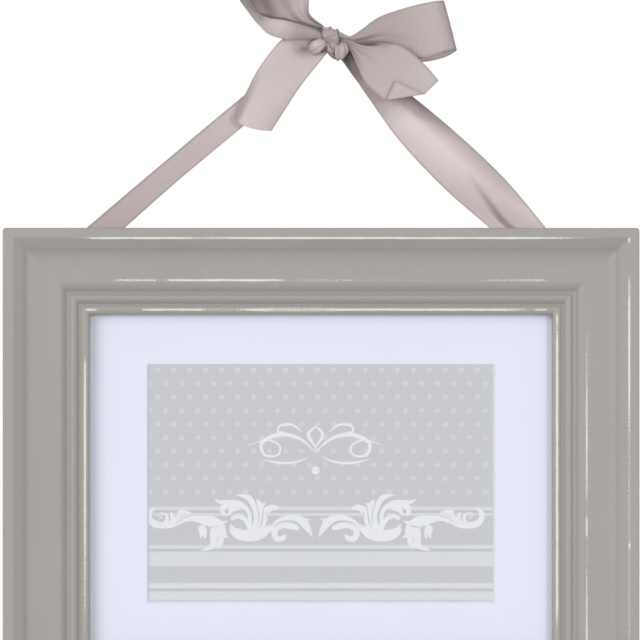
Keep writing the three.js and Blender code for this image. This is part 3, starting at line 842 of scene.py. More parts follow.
# %% [markdown]
# ## Veins of the leaves
#
# Between the leaves the grey of the card shows as thin curved slits. Cutting them out of the white
# strokes would be hard, so they are printed over them, as thin grey strokes a little further in front.

# %% Veins
VEIN_FRONT = 0.13
veins = [
    ([(405, 225), (408, 270), (400, 300)], [4, 9, 3]),
    ([(440, 190), (450, 260), (462, 330), (486, 376)], [4, 9, 10, 3]),
    ([(508, 170), (486, 250), (490, 330)], [4, 10, 3]),
    ([(572, 180), (540, 260), (550, 350)], [16, 14, 3]),
    ([(640, 140), (600, 160), (570, 200)], [5, 12, 4]),
    ([(590, 300), (604, 250), (640, 228), (690, 232), (730, 260)], [4, 14, 16, 12, 6]),
    ([(750, 190), (772, 212), (768, 246)], [3, 9, 3]),
    ([(800, 170), (828, 160), (850, 158)], [3, 7, 3]),
    ([(120, 366), (150, 326), (210, 316), (290, 324), (350, 366)], [4, 12, 12, 12, 5]),
    ([(340, 300), (366, 338), (392, 360)], [3, 9, 3]),
    ([(774, 440), (764, 400), (748, 366), (752, 318)], [6, 20, 16, 6]),
    ([(946, 392), (944, 430), (950, 466)], [10, 16, 6]),
    ([(854, 450), (852, 478), (858, 500)], [3, 10, 3]),
    ([(1100, 262), (1170, 288), (1228, 342)], [3, 7, 3]),
    ([(1210, 232), (1224, 252), (1240, 280)], [6, 12, 3]),
    ([(1284, 250), (1282, 290), (1296, 326)], [3, 8, 3]),
    ([(1344, 262), (1340, 292), (1372, 302), (1420, 280), (1426, 250)], [6, 16, 22, 26, 10]),
]
ink_piece("scroll_veins", from_drawing(veins), SCROLL_X, SCROLL_Z, grey_ink, VEIN_FRONT)

# %% [markdown]
# ## Flourish
#
# Higher up on the card sits a plain flourish of the same pen strokes, with a dot under it: a lozenge,
# two curls with long tapering tails, and a line below each. Its strokes are in millimetres, across
# from the middle and up.

# %% Flourish
FLOURISH_Z = -189.5
flourish = [
    ([(0, 9.6), (3.6, 5.6), (0.4, 0), (-0.6, -1.6)], [0.6, 1.6, 0.9, 0.3]),
    ([(0, -3), (8, 3.6), (17.6, 5.6), (26.4, 1.6), (25.2, -4.4), (18.8, -4.6), (17.8, 0), (23.8, 2.8),
      (33.6, 0.4)], [0.4, 1.5, 2.1, 1.8, 1.3, 1, 0.9, 0.8, 0.2]),
    ([(3.2, -5.6), (10, -8), (18, -8.4), (27, -6.6)], [0.3, 1.1, 1.2, 0.2]),
    ([(6.6, 6.8), (11.6, 10.4), (17.4, 10), (18.6, 7.2), (16, 6.6)], [0.3, 1.2, 1.1, 0.9, 1.1]),
    ([(0, -12.1), (0.9, -12.1), (1.6, -12.1), (2, -12.1)], [4, 3.6, 2.4, 0.2]),
]
ink_piece("flourish", flourish, SCROLL_X, FLOURISH_Z, white_ink)

# %% [markdown]
# ## Hardboard
#
# The backing is hardboard, brown pressed fibre with a mottled smooth side. It is flat, so the CAD board
# keeps its shape, and three sizes of noise give its fibres, its blotches and its dull flakes.

# %% Hardboard
hardboard, wire, shader = new_finish("hardboard", Specular_IOR_Level=0.25)
fibres = grain(wire, spot(wire), 420.0, 6.0)
blotch = grain(wire, spot(wire), 18.0, 4.0)
flake = grain(wire, vector(wire, grain(wire, spot(wire), 60.0) * 0.4, fibres, 0.0), 9.0)
brown = blotch.mix(srgb(126, 92, 60), srgb(150, 114, 78))
(fibres.between(0.4, 0.7) * 0.5).mix(brown, srgb(98, 70, 44)).into(shader, "Base Color")
(0.68 + 0.18 * flake).into(shader, "Roughness")
bumped(wire, shader, fibres, 0.00008)
refinish("backing_board", hardboard)

# %% [markdown]
# ## Zinc-plated steel
#
# Turn buttons, screws, corner nails and staples are bright zinc. The plating shows as small spangles
# that differ in shade and in gloss, with fine scratches over them. The staples are only wire, so they
# keep their CAD shape.

# %% Zinc-plated steel
steel, wire, shader = new_finish("zinc_steel", Metallic=1.0)
spangle = grain(wire, spot(wire), 350.0, 2.0)
scratch = grain(wire, spot(wire), 1600.0, 4.0)
spangle.mix(srgb(178, 180, 183), srgb(206, 207, 208)).into(shader, "Base Color")
(0.26 + 0.16 * spangle + 0.1 * scratch).into(shader, "Roughness")
bumped(wire, shader, scratch, 0.00001)
for side in ("left_1", "left_2", "right_1", "right_2"):
    refinish("staple_" + side, steel)

# %% [markdown]
# ## Turn buttons
#
# Four flat bars hold the backing board, each turning on its own screw. They are stamped from sheet
# steel, so their upper rim is rounded over. The bar is a stack of rings round its middle line, from
# the hole out to the rim and under, which gives a clean rim without a Bevel modifier.

# %% Turn buttons
BUTTON_REACH = 16.0
BUTTON_RADIUS = 5.0
BUTTON_UNDER = 0.3
BUTTON_TOP = 1.3
PLACES = {
    "top_left": (-69, -109),
    "top_right": (51, -109),
    "bottom_left": (-69, -307),
    "bottom_right": (51, -307),
}


def turn_button(place, x, z):
    """A bar with round ends: each ring is the middle line plus the way outwards times a distance."""
    arc = np.linspace(np.pi / 2, 1.5 * np.pi, 33)
    straight = np.linspace(0.1, 0.9, 9)
    facing = np.concatenate([arc, np.full(9, 1.5 * np.pi), arc + np.pi, np.full(9, 0.5 * np.pi)])
    reach = np.concatenate([np.zeros(33), straight, np.ones(33), straight[::-1]]) * BUTTON_REACH
    outward = np.stack([np.cos(facing), np.sin(facing)], -1)
    middle_line = np.stack([reach, np.zeros_like(reach)], -1)
    hole = unit(middle_line + outward * BUTTON_RADIUS)
    rings = [(hole * 1.7, BUTTON_UNDER), (hole * 1.7, BUTTON_TOP - 0.15), (hole * 1.85, BUTTON_TOP)]
    rim = [
        (0.5, BUTTON_TOP),
        (0.2, BUTTON_TOP - 0.06),
        (0.05, BUTTON_TOP - 0.2),
        (0, BUTTON_TOP - 0.4),
        (0, BUTTON_UNDER + 0.2),
        (0.2, BUTTON_UNDER),
    ]
    rings += [(middle_line + outward * (BUTTON_RADIUS - inset), level) for inset, level in rim]
    arm = 1 if z < MID_Z else -1
    points = np.stack([
        np.stack([x - plan[:, 1] * arm, np.full(len(plan), level), z + plan[:, 0] * arm], -1)
        for plan, level in rings
    ])
    faces = quads(len(rings), len(reach), loop=True, ring=True)
    button = make_piece("button_" + place, points, faces, [steel], "button_" + place, crease=50)
    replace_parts(button, "turn_button_" + place)


for place, (x, z) in PLACES.items():
    turn_button(place, x, z)

# %% [markdown]
# ## Screws
#
# Each button turns on a pan-head screw with a cross recess. The screw is a turned form, and the recess
# is pressed into it by lowering the points that lie inside a cross. The points stand close enough
# there for its walls to look straight.

# %% Screws
SCREW_SIDES = 64
RECESS_REACH = 1.8
RECESS_HALF = 0.45


def pan_screw(place, x, z):
    """
    Radius and height along the profile, turned round the axis. The recess takes off its depth where the
    distance to either arm of the cross is negative.
    """
    top = np.linspace(0.02, 2.2, 26)
    profile = [*zip(top, 1.8 - 0.2 * (top / 2.2) ** 2)]
    profile += [(2.6, 1.48), (2.95, 1.2), (3.15, 0.85), (3.2, 0.4), (3.18, 0), (1.4, 0), (1.4, -7.5)]
    profile += [(0.05, -9)]
    r, h = np.array(profile).T[..., None]
    angle = np.linspace(0, 2 * np.pi, SCREW_SIDES, endpoint=False)
    across = r * np.cos(angle)
    up = r * np.sin(angle)
    level_arm = np.maximum(np.abs(across) - RECESS_REACH, np.abs(up) - RECESS_HALF)
    upright_arm = np.maximum(np.abs(up) - RECESS_REACH, np.abs(across) - RECESS_HALF)
    inside = np.clip(-np.minimum(level_arm, upright_arm) / 0.16 + 0.5, 0, 1)
    pit = inside * (0.55 + 0.35 * np.exp(-(r**2)))
    height = h - np.where(h > 1.5, pit, 0)
    points = np.stack([x + across, 1.6 + height, z + up], -1)
    head = list(range(SCREW_SIDES))
    tip = [(len(r) - 1) * SCREW_SIDES + i for i in head]
    faces = quads(len(r), SCREW_SIDES, loop=True) + [head, tip]
    screw = make_piece("screw_" + place, points, faces, [steel], "frame", crease=38)
    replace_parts(screw, "button_screw_" + place)


for place, (x, z) in PLACES.items():
    pan_screw(place, x, z)

# %% [markdown]
# ## Corner nails
#
# A frame maker binds each mitre with a V-nail, a thin V of hardened steel that is driven in from the
# back until only its edge shows. Its outline goes straight through the depth, so two copies of it and
# the quads between them are all it takes.

# %% Corner nails
NAIL_ARM = 4.5
NAIL_SHEET = 0.8 * math.sqrt(2)
NAIL_FROM_CORNER = 13


def v_nail(place, x, z):
    """The outline of a V, with its point towards the corner, at two depths."""
    tips = NAIL_ARM + NAIL_SHEET
    outline = np.array([
        (0, 0),
        (NAIL_ARM, NAIL_ARM),
        (NAIL_ARM, tips),
        (0, NAIL_SHEET),
        (-NAIL_ARM, tips),
        (-NAIL_ARM, NAIL_ARM),
    ])
    inwards = np.array([-x, -z]) / math.sqrt(2)
    sideways = np.array([-inwards[1], inwards[0]])
    start = np.array([
        MID_X + x * (WIDE / 2 - NAIL_FROM_CORNER),
        MID_Z + z * (TALL / 2 - NAIL_FROM_CORNER),
    ])
    plan = start + outline[:, :1] * sideways + outline[:, 1:] * inwards
    points = np.stack([np.column_stack([plan[:, 0], np.full(6, y), plan[:, 1]]) for y in (0.04, -8.0)])
    faces = quads(2, 6, loop=True) + [list(range(6)), list(range(6, 12))]
    nail = make_piece("corner_nail_" + place, points, faces, [steel], "frame")
    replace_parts(nail, "v_nail_" + place)


v_nail("top_right", 1, 1)
v_nail("bottom_right", 1, -1)
v_nail("bottom_left", -1, -1)
v_nail("top_left", -1, 1)

# %% [markdown]
# ## Satin ribbon
#
# The ribbon is woven with fine ribs across its length and a firm selvedge along both edges, and it
# shines softly. The ribs are a wave along the length, which every ribbon piece stores on its points
# in millimetres, so they follow each bend. The selvedge comes from the place across. Two more numbers
# are stored: dull is light and shade painted into the colour, from lit satin at 0 to shaded
# cloth at 1 and the dark of deep folds at 2, and crisp says how clearly the ribs show.

# %% Woven satin
RIB = 1.1
satin, wire, shader = new_finish(
    "ribbon_satin",
    Sheen_Weight=0.08,
    Sheen_Roughness=0.4,
    Sheen_Tint=srgb(255, 246, 244),
    Specular_IOR_Level=0.25,
)
along, across, dull, crisp = [field(wire, name) for name in ("along", "across", "dull", "crisp")]
mottle = grain(wire, vector(wire, along * 0.16, across * 3.0, dull), 1.4, 4.0)
thread = grain(wire, vector(wire, along * 0.5, across * 9.0, 0.0), 2.0, 2.0)
rib = wire.math("SINE", along * (2 * math.pi / RIB)) * 0.5 + 0.5
selvedge = abs(across).between(0.9, 0.97)
# one satin colour lit, shaded and in deep shadow, mixed by the painted shade
light = (mottle * 0.4).mix(srgb(227, 215, 214), srgb(215, 202, 201))
shaded = (mottle * 0.5).mix(srgb(182, 168, 167), srgb(170, 156, 155))
dark = (mottle * 0.5).mix(srgb(112, 97, 98), srgb(96, 82, 84))
cloth = dull.between(1.0, 2.0).mix(dull.between(0.0, 1.0).mix(light, shaded), dark)
ribbed = ((1 - rib) * (0.05 + crisp * (0.1 + 0.3 * thread))).mix(cloth, srgb(128, 114, 113))
(selvedge * 0.5).mix(ribbed, srgb(156, 147, 144)).into(shader, "Base Color")
(0.36 + 0.1 * thread + 0.16 * selvedge).into(shader, "Roughness")
bumped(wire, shader, rib * (0.15 + 0.85 * crisp) * (0.5 + 0.5 * thread) + 0.4 * mottle, 0.00008)
print("rib spacing", RIB, "mm")

# %% [markdown]
# ## A strip along a line
#
# Every part of the bow is a length of ribbon, so each is a strip swept along a smooth line. A row of
# its table is a place, a direction across as long as the share of the width that shows, a hollow (the
# cup), pleats, which take up the width where the ribbon is gathered, and a roll, which bends it round
# like a tube. A cloth simulation would fall as it likes, while this strip goes where it is put.

# %% Strips
# half the ribbon's width in millimetres, pleats to each side, thickness in millimetres, faintest ribs
HALF = 12.5
PLEATS = 1.5
CLOTH = 0.5
FAINT = 0.14


def near(x, middle, width):
    """A bell: 1 where x is at the middle, fading to both sides over the width."""
    return np.exp(-(((x - middle) / width) ** 2))


def clamp(x):
    """x, but never below 0 or above 1."""
    return np.clip(x, 0, 1)


def strip_grid(stations, steps, columns):
    """
    Place on the line + across * half width * sine(roll * s) + normal * rise, where the rise is
    cup * (1 - s squared) + pleat * cosine(s) - half width * (1 - cosine(roll * s)).
    """
    rows = np.array([(*at, *over, cup, pleat, roll) for at, over, cup, pleat, roll in stations], float)
    line = through(rows, np.linspace(0, 1, steps))
    at, over, cup, pleat, roll = np.split(line, [3, 6, 7, 8], axis=1)
    s = np.linspace(-1, 1, columns)
    roll = np.maximum(roll, 0.02)
    widest = np.sin(np.minimum(roll, np.pi / 2))
    half = HALF * np.linalg.norm(over, axis=1)[:, None]
    normal = unit(np.cross(np.gradient(at, axis=0), over))
    bent = half * (1 - np.cos(roll * s)) / widest
    rise = cup * (1 - s**2) + pleat * np.cos(2 * np.pi * PLEATS * s) - bent
    sideways = HALF * np.sin(roll * s) / widest
    grid = at[:, None] + over[:, None] * sideways[..., None] + normal[:, None] * rise[..., None]
    travel = np.linalg.norm(np.diff(at, axis=0), axis=1)
    return grid, np.concatenate([[0], np.cumsum(travel)]), s


def rib_place(grid, along):
    """Length at every point: that of the line, plus how far the point lies ahead of its row's middle."""
    middle = grid.mean(axis=1, keepdims=True)
    slope = unit(np.gradient(middle, axis=0))
    return along[:, None] + ((grid - middle) * slope).sum(-1)


def ribbon_piece(name, grid, along, s, dull, crisp, body="ribbon", ring=False):
    """A closed thin strip. Its points store their length, place across, painted shade and crispness."""
    points, faces = sheet_solid(grid, CLOTH, ring)
    fields = {}
    for key, values in {"along": along, "across": s, "dull": dull, "crisp": crisp}.items():
        face = np.broadcast_to(values, grid.shape[:2])
        fields[key] = np.concatenate([face, face[:, ::-1]], axis=1)
    return make_piece(name, points, faces, [satin], body, fields, crease=60)


def bow_part(
    name, stations, shade, ribs=((0,), (FAINT,)), fold=None, steps=150, columns=49
):
    """
    One free part of the bow, in place of its CAD solid. shade gives the painted shade from the share of
    the length and the place across, and ribs lists places along it and how crisp they are.
    """
    grid, along, s = strip_grid(stations, steps, columns)
    t = (along / along[-1])[:, None]
    dull = shade(t, s)
    crisp = np.interp(t, *ribs)
    place = rib_place(grid, along)
    if fold:
        grid, turned = fold(grid)
        # painted light: the turned corner is a little lighter, and its ribs show more
        dull = dull - 0.1 * turned
        crisp = crisp + 0.6 * turned
    piece = ribbon_piece(name, grid, place, s, dull, crisp)
    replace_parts(piece, "bow_" + name)


print("ribbon width", 2 * HALF, "mm")

# %% [markdown]
# ## Wrap of the knot
#
# The middle of the bow is one turn of ribbon pulled tight over the gathers. It is a band on an ellipse
# round the bow's length, with pinched edges, a soft crease that winds round it, and two knobs on top
# where the gathers push it out. Its last row joins the first, so it has no seam.

# %% Wrap
KNOT_X = -4.3
KNOT_Y = -8.0
KNOT_Z = 12.9
turn = np.linspace(-np.pi, np.pi, 96, endpoint=False)[:, None]
s = np.linspace(-1, 1, 41)
pinch = 1 - 0.1 * s**6
crease = 0.06 * near(s, 0.15 + 1.1 * np.sin(turn), 0.16) * clamp(np.cos(turn))
ruck = 0.05 * np.cos(5 * turn + 1.0) * np.cos(2.4 * s - 0.6)
on_top = near(turn, np.pi / 2, 0.4)
knob = on_top * (0.24 * near(s, 0.0, 0.19) + 0.18 * near(s, 0.84, 0.16))
size = pinch - crease + ruck + knob
sideways = 4.15 * s + 0 * turn
# depth and height are the cosine and sine of an ellipse, times a size near 1 that holds every dent
wrap = np.stack([
    KNOT_X + sideways,
    KNOT_Y - 4.7 * size * np.cos(turn),
    KNOT_Z + (3.7 + 0.35 * s) * size * np.sin(turn) - 0.34 * sideways,
], -1)
# painted shade: darker at the pinched edges, in the crease and rucks, on the knobs and over the top
wrap_shade = 0.9 + 1.5 * np.abs(s) ** 8 + 8 * crease + 4 * ruck + 2 * knob + 0.6 * on_top
wrap_piece = ribbon_piece("knot_wrap", wrap, turn * 4.4, s, wrap_shade, 0.1, ring=True)
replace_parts(wrap_piece, "bow_knot")

# %% [markdown]
# ## Deep folds of the knot
#
# Between the wrap and the loops the gathered ribbon fills every gap. It lies in shadow, where no single
# fold can be told, so four egg forms with waves and a groove stand for it, dark enough to read as depth.

# %% Deep folds
FOLD_ROWS = 61
FOLD_SIDES = 96


def knot_fold(name, centre, half, tilt, phase, dull, deep):
    """
    An egg form: its radius is the sine of the way along to the power 0.7. Two long waves push its surface
    in and out, and a narrow groove runs over it.
    """
    way = np.linspace(0.01, np.pi - 0.01, FOLD_ROWS)[:, None]
    round_it = np.linspace(0, 2 * np.pi, FOLD_SIDES, endpoint=False)
    wide = np.sin(way) ** 0.7 + 0 * round_it
    long = -np.cos(way) + 0 * round_it
    ball = np.stack([long, wide * np.cos(round_it), wide * np.sin(round_it)], -1)
    x = ball[..., 0] * half[0]
    z = ball[..., 2] * half[2]
    wave = np.cos(0.9 * x + 0.5 * z + phase) + 0.6 * np.cos(1.5 * z - 0.7 * x + 2 * phase)
    groove = near(z + 0.35 * x, 1.3 * math.sin(phase), 0.4) * clamp(1.4 * wide - 0.4)
    local = ball * (np.array(half) + (0.2 * wave - deep * groove)[..., None])
    c = math.cos(math.radians(tilt))
    k = math.sin(math.radians(tilt))
    points = np.array(centre) + local @ np.array([[c, 0, k], [0, 1, 0], [-k, 0, c]])
    start = list(range(FOLD_SIDES))
    end = [(FOLD_ROWS - 1) * FOLD_SIDES + i for i in start]
    faces = quads(FOLD_ROWS, FOLD_SIDES, loop=True) + [start, end]
    # painted shade: dark all over, and darker still in the groove
    fields = {
        "along": local[..., 0],
        "across": 0.8 * ball[..., 1],
        "dull": dull - 0.15 * wave + 1.6 * deep * groove,
        "crisp": np.full(wide.shape, 0.25),
    }
    fold = make_piece(name, points, faces, [satin], "ribbon", fields, crease=70)
    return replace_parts(fold, "bow_knot")


folds = [
    knot_fold("knot_fold_slit", (-7.3, -7.4, 7.3), (3.2, 1.9, 1.6), 55, 1.0, 2.0, 0.0),
    knot_fold("knot_fold_under", (-2.6, -6.6, 3.7), (3.6, 2.2, 1.8), -35, 0.3, 1.7, 0.3),
    knot_fold("knot_fold_neck", (1.7, -8.4, 12.3), (4.2, 2.6, 2.1), -33, 2.6, 0.8, 0.3),
    knot_fold("knot_fold_gap", (5.0, -7.6, 5.8), (4.6, 2.0, 1.6), -80, 1.4, 1.9, 0.0),
]

# %% [markdown]
# ## Crushed folds of the knot
#
# Below the wrap the ribbon bulges out in crushed folds. Each is a narrow strip that comes out under the
# wrap, swells forward and turns back in, with a groove pressed into it. Strips are used here and not
# round forms, because these folds lie in the light, where only an edge looks like cloth.


# %% Crushed folds
def tuck(name, dull, groove, stations):
    """
    A strip with a groove down it, from the first place across at its start to the second at its end,
    pressed in by the third number.
    """
    grid, along, s = strip_grid(stations, steps=70, columns=41)
    t = (along / along[-1])[:, None]
    first, last, depth = groove
    line = near(s, first + (last - first) * t**2, 0.11) * np.sin(np.pi * t)
    grid[..., 1] += depth * line
    ends = np.interp(t, [0, 0.22, 0.75, 1], [1, 0, 0, 0.6])
    # painted shade: darker at both ends under the wrap, in the groove and towards the edges
    shade = dull + 1.1 * ends + 2.0 * depth * line + 0.4 * np.abs(s) ** 6
    piece = ribbon_piece(name, grid, rib_place(grid, along), s, shade, 0.08)
    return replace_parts(piece, "bow_knot")


folds += [
    tuck("knot_tuck_left", 0.45, (0.5, -0.1, 0.18), [
        ((-6.0, -7.0, 11.4), (0.08, 0, -0.12), 0, 0, 1.0),
        ((-7.4, -10.0, 10.2), (0.11, 0, -0.15), 0, 0, 1.0),
        ((-9.9, -11.4, 8.6), (0.14, 0, -0.18), 0.2, 0.1, 0.9),
        ((-12.0, -10.6, 7.0), (0.15, 0, -0.2), 0.2, 0.1, 0.8),
        ((-13.6, -7.8, 6.0), (0.13, 0, -0.19), 0, 0, 0.6),
        ((-14.8, -3.9, 5.2), (0.1, 0, -0.17), 0, 0, 0.4),
    ]),
    tuck("knot_tuck_edge", 0.6, (0, 0, 0), [
        ((-5.0, -8.4, 10.2), (0.05, 0, -0.03), 0, 0, 0.5),
        ((-5.9, -9.0, 7.8), (0.06, 0, -0.03), 0, 0, 0.5),
        ((-6.9, -7.0, 5.4), (0.06, 0, -0.03), 0, 0, 0.5),
        ((-7.9, -4.2, 3.6), (0.05, 0, -0.03), 0, 0, 0.5),
    ]),
    tuck("knot_tuck_middle", 0.75, (-0.4, 0.5, 0.9), [
        ((-4.6, -7.0, 11.0), (0.1, 0, 0.06), 0, 0, 1.0),
        ((-4.3, -10.2, 9.2), (0.14, 0, 0.08), 0, 0.2, 0.9),
        ((-3.6, -11.0, 7.2), (0.18, 0, 0.12), 0.2, 0.35, 0.8),
        ((-2.5, -10.0, 5.4), (0.16, 0, 0.11), 0, 0.35, 0.8),
        ((-1.8, -7.4, 4.2), (0.13, 0, 0.09), 0, 0.2, 0.8),
    ]),
    tuck("knot_tuck_tip", 0.8, (0, 0, 0), [
        ((-0.6, -9.0, 9.8), (0.06, 0, 0), 0, 0, 0.8),
        ((-0.9, -11.2, 7.0), (0.09, 0, 0.01), 0, 0, 0.8),
        ((-0.8, -11.0, 3.2), (0.09, 0, 0.03), 0, 0, 0.8),
        ((-0.4, -8.6, 0.8), (0.05, 0, 0.02), 0, 0, 0.8),
    ]),
    tuck("knot_tuck_right", 0.7, (0.1, 0.75, 0.3), [
        ((0.9, -7.4, 11.0), (0.12, 0, 0.02), 0, 0, 1.0),
        ((1.3, -10.4, 9.8), (0.14, 0, 0.03), 0, 0, 1.0),
        ((2.0, -12.2, 7.6), (0.2, 0, 0.04), 0.3, 0.1, 0.9),
        ((2.3, -12.2, 4.6), (0.22, 0, 0.07), 0.3, 0.15, 0.9),
        ((1.8, -10.6, 2.1), (0.19, 0, 0.1), 0, 0.1, 0.9),
        ((1.7, -7.6, 1.8), (0.15, 0, 0.06), 0, 0, 0.9),
        ((1.8, -5.6, 3.8), (0.12, 0, 0.02), 0, 0, 1.0),
    ]),
]
print("folds:", len(folds))

# %% [markdown]
# ## Right loop
#
# The right loop goes out nearly flat, turns back at its end and returns behind itself. Both ends go
# on into the knot, where the strip is rolled and narrow. Its painted shade is dark in the neck and
# lighter outwards, and its inner side, which catches the light, is painted light.


# %% Right loop
def right_loop_shade(t, s):
    """Painted shade along the loop, plus a dark pleat and a dark lower edge that fade from the neck."""
    lengthwise = np.interp(
        t,
        [0, 0.12, 0.25, 0.42, 0.48, 0.49, 0.51, 0.65, 1],
        [1.3, 1.1, 0.85, 0.55, 0.65, 1.4, 0.0, 0.1, 1.4],
    )
    pleat = 0.8 * clamp(1 - t / 0.34) * near(s, -0.3, 0.12)
    lower_edge = 1.6 * clamp(1.4 - t / 0.2) * clamp((-s - 0.62) / 0.2)
    return lengthwise + pleat + lower_edge


right_loop = [
    ((-3.6, -9.2, 12.2), (0.02, 0, 0.22), 0, 0, 1.2),
    ((0.2, -9.8, 11.4), (0, 0, 0.2), 0, 0, 1.2),
    ((5.4, -10.3, 11.0), (-0.02, 0, 0.11), 0, 0, 1.3),
    ((12, -10.7, 12.9), (-0.03, 0, 0.28), 0, 0.15, 1.4),
    ((17.5, -11, 14.6), (-0.05, 0, 0.46), -0.4, 0.2, 0.9),
    ((24, -11.2, 15.8), (-0.07, 0, 0.62), -0.8, 0.1, 0.6),
    ((38, -11.5, 14.9), (-0.13, 0, 1.02), -0.8, 0, 0.2),
    ((50.2, -10.4, 17.7), (-0.22, 0, 0.98), 0, 0, 0),
    ((54.8, -7, 18.0), (-0.25, 0, 0.97), 0, 0, 0),
    ((49, -3.6, 15.2), (-0.18, 0, 1.04), 0, 0, 0),
    ((37, -2.6, 13), (-0.16, 0, 1.02), 0.6, 0, 0.2),
    ((23, -2.8, 12), (-0.08, 0, 0.72), 0.6, 0.4, 0.7),
    ((10.5, -3.6, 10.8), (-0.04, 0, 0.26), 0, 0.4, 1.6),
    ((5, -4.4, 9.8), (0, 0, 0.13), 0, 0, 2.0),
    ((0.4, -5.4, 11), (0, 0, 0.2), 0, 0, 2.2),
    ((-3.6, -6.6, 12.4), (0.02, 0, 0.18), 0, 0, 2.2),
]
right_ribs = ([0.2, 0.4], [0.3, 0.9])
bow_part("loop_right", right_loop, right_loop_shade, ribs=right_ribs)

# %% [markdown]
# ## Left loop
#
# The left loop stands up: its back rises wide from the knot, turns over at the top, and the front comes
# down edge on, so that the eye looks into the turn. There its painted shade is darkest. The ribs show
# best where the front lies flat again, near the knot.


# %% Left loop
def left_loop_shade(t, s):
    """Painted shade: a curve along the loop, a dark front edge and the dark inner side of the turn."""
    lengthwise = np.interp(
        t,
        [0, 0.1, 0.2, 0.3, 0.5, 0.58, 0.63, 0.66, 0.69, 0.72, 0.76, 0.79, 0.83, 0.87, 0.92, 0.95, 1],
        [1.1, 0.7, 0.5, 0.8, 1.0, 1.8, 1.6, 1.25, 0.75, 0.15, -0.3, 0.2, 0.45, 0.8, 0.75, 1.0, 1.1],
    )
    front_edge = 2.2 * np.interp(t, [0.66, 0.74], [0, 1]) * clamp((s - 0.72) / 0.14)
    inside = 0.6 * np.interp(t, [0.5, 0.55, 0.66, 0.72], [0, 1, 1, 0]) * clamp(s / 0.6)
    return lengthwise + front_edge + inside


left_loop = [
    ((-4.4, -5.4, 14.2), (0.02, 0, 0.16), 0, 0.3, 2.0),
    ((-8.4, -4.2, 15.8), (0.06, 0, 0.16), 0, 0.4, 1.8),
    ((-19.8, -3.4, 19.2), (0.42, -0.04, 0.38), 0, 0.9, 0.7),
    ((-26.2, -3.8, 25.2), (0.86, -0.08, 0.62), 0, 0.7, 0),
    ((-31, -5.5, 35), (0.88, -0.2, 0.64), 0, 0.35, 0),
    ((-39, -9, 43.5), (0.72, -0.42, 0.6), 0, 0, 0),
    ((-45.5, -12.5, 44.2), (0.52, -0.6, 0.46), 0, 0, 0),
    ((-49.0, -15.2, 37.5), (0.24, -0.78, 0.14), 0, 0, 0),
    ((-46.4, -14.9, 30), (0.16, -0.8, 0.02), 0, 0, 0),
    ((-40.6, -15.4, 22.4), (0.1, -0.75, 0.12), 0, 0, 0),
    ((-35.0, -14.2, 17.3), (0.1, -0.4, 0.31), 0, 0, 0.5),
    ((-26.8, -13.6, 15.8), (0.03, -0.14, 0.4), 0, 0, 0.7),
    ((-18.4, -12.4, 14.9), (0, -0.05, 0.3), 0, 0, 0.9),
    ((-13.2, -11.4, 13.9), (0, -0.03, 0.22), 0, 0, 1.2),
    ((-8.4, -10.6, 13.0), (0, 0, 0.15), 0, 0, 1.5),
    ((-4.4, -9.8, 12.6), (0, 0, 0.14), 0, 0, 1.6),
]
left_ribs = ([0.5, 0.58, 0.66, 0.75, 0.85, 0.95], [0.3, 1.0, 1.2, 0.7, 1.5, 1.7])
bow_part("loop_left", left_loop, left_loop_shade, ribs=left_ribs)

# %% [markdown]
# ## Left tail
#
# The left tail hangs from behind the knot in a shallow hollow and is cut straight. A cut end never
# stays quite straight when the ribbon is hollow: seen from the front, its middle reaches further down.


# %% Left tail
def round_end(grid):
    """The last stretch is drawn out, most in the middle of the cut: by 2 mm times 1 - s squared."""
    s = np.linspace(-1, 1, grid.shape[1])
    late = clamp(np.linspace(-4, 1, grid.shape[0]))[:, None]
    slope = unit(np.gradient(grid, axis=0))
    return grid + slope * (2.0 * late**2 * (1 - s**2))[..., None], 0 * late


def left_tail_shade(t, s):
    """Painted shade: even, with a darker edge towards the end and a dark wedge under the knot."""
    edge = 0.7 * np.interp(t, [0.55, 0.9], [0, 1]) * clamp((s - 0.6) / 0.25)
    wedge = 1.2 * near(t, 0.22, 0.06) * near(s, -0.08, 0.42)
    return 0.42 + edge + wedge


left_tail = [
    ((-6.5, -6.2, 11.6), (-0.12, 0, 0.16), 0, 0, 2.0),
    ((-11.6, -4.2, 10.9), (-0.4, 0, 0.16), 0, 0, 1.2),
    ((-15.2, -4.2, 8.6), (-0.7, 0, 0.28), 0, 0.1, 0.6),
    ((-19.4, -4.5, 5.3), (-0.82, 0, 0.37), 0, 0.1, 0.2),
    ((-29.2, -6.4, -7.2), (-0.83, 0.06, 0.34), -2.6, 0, 0),
    ((-36, -7.4, -18.8), (-0.8, 0.08, 0.28), -3.4, 0, 0),
    ((-42.8, -7.4, -31), (-0.74, 0.08, 0.24), -3.4, 0, 0),
]
bow_part("tail_left", left_tail, left_tail_shade, fold=round_end)

# %% [markdown]
# ## Right tail
#
# The right tail is the front one. The corner of its cut end is turned over and lies back on the ribbon,
# so its other face shows there. The strip is made flat first and then folded about a line, as it
# was on the real ribbon. This keeps the ribs right on the turned corner.

# %% Right tail
BEND = 0.5
FOLD_START = np.array([22.3, -18.7])
FOLD_END = np.array([42.2, -15.3])


def turn_corner(grid):
    """
    Points past a line across the corner go round a half circle and lie back on the ribbon. Their depth is
    taken from the plane that fits the ribbon just before the line, and what is left of it changes sign.
    """
    line = unit(FOLD_END - FOLD_START)
    out = np.array([line[1], -line[0]])
    flat = grid[..., [0, 2]]
    away = (flat - FOLD_START) @ out
    angle = np.clip(away / BEND, 0, np.pi)
    past = np.maximum(away - np.pi * BEND, 0)
    shift = np.where(away > 0, BEND * np.sin(angle) - past - away, 0)
    landed = flat + shift[..., None] * out
    before = (away > -9) & (away < 0)
    level = np.linalg.lstsq(np.c_[flat[before], np.ones(before.sum())], grid[before][:, 1], rcond=None)[0]
    depth = landed @ level[:2] + level[2] + (grid[..., 1] - flat @ level[:2] - level[2]) * np.cos(angle)
    depth = depth - BEND * (1 - np.cos(angle)) - 0.1 * past
    return np.stack([landed[..., 0], depth, landed[..., 1]], -1), angle / np.pi


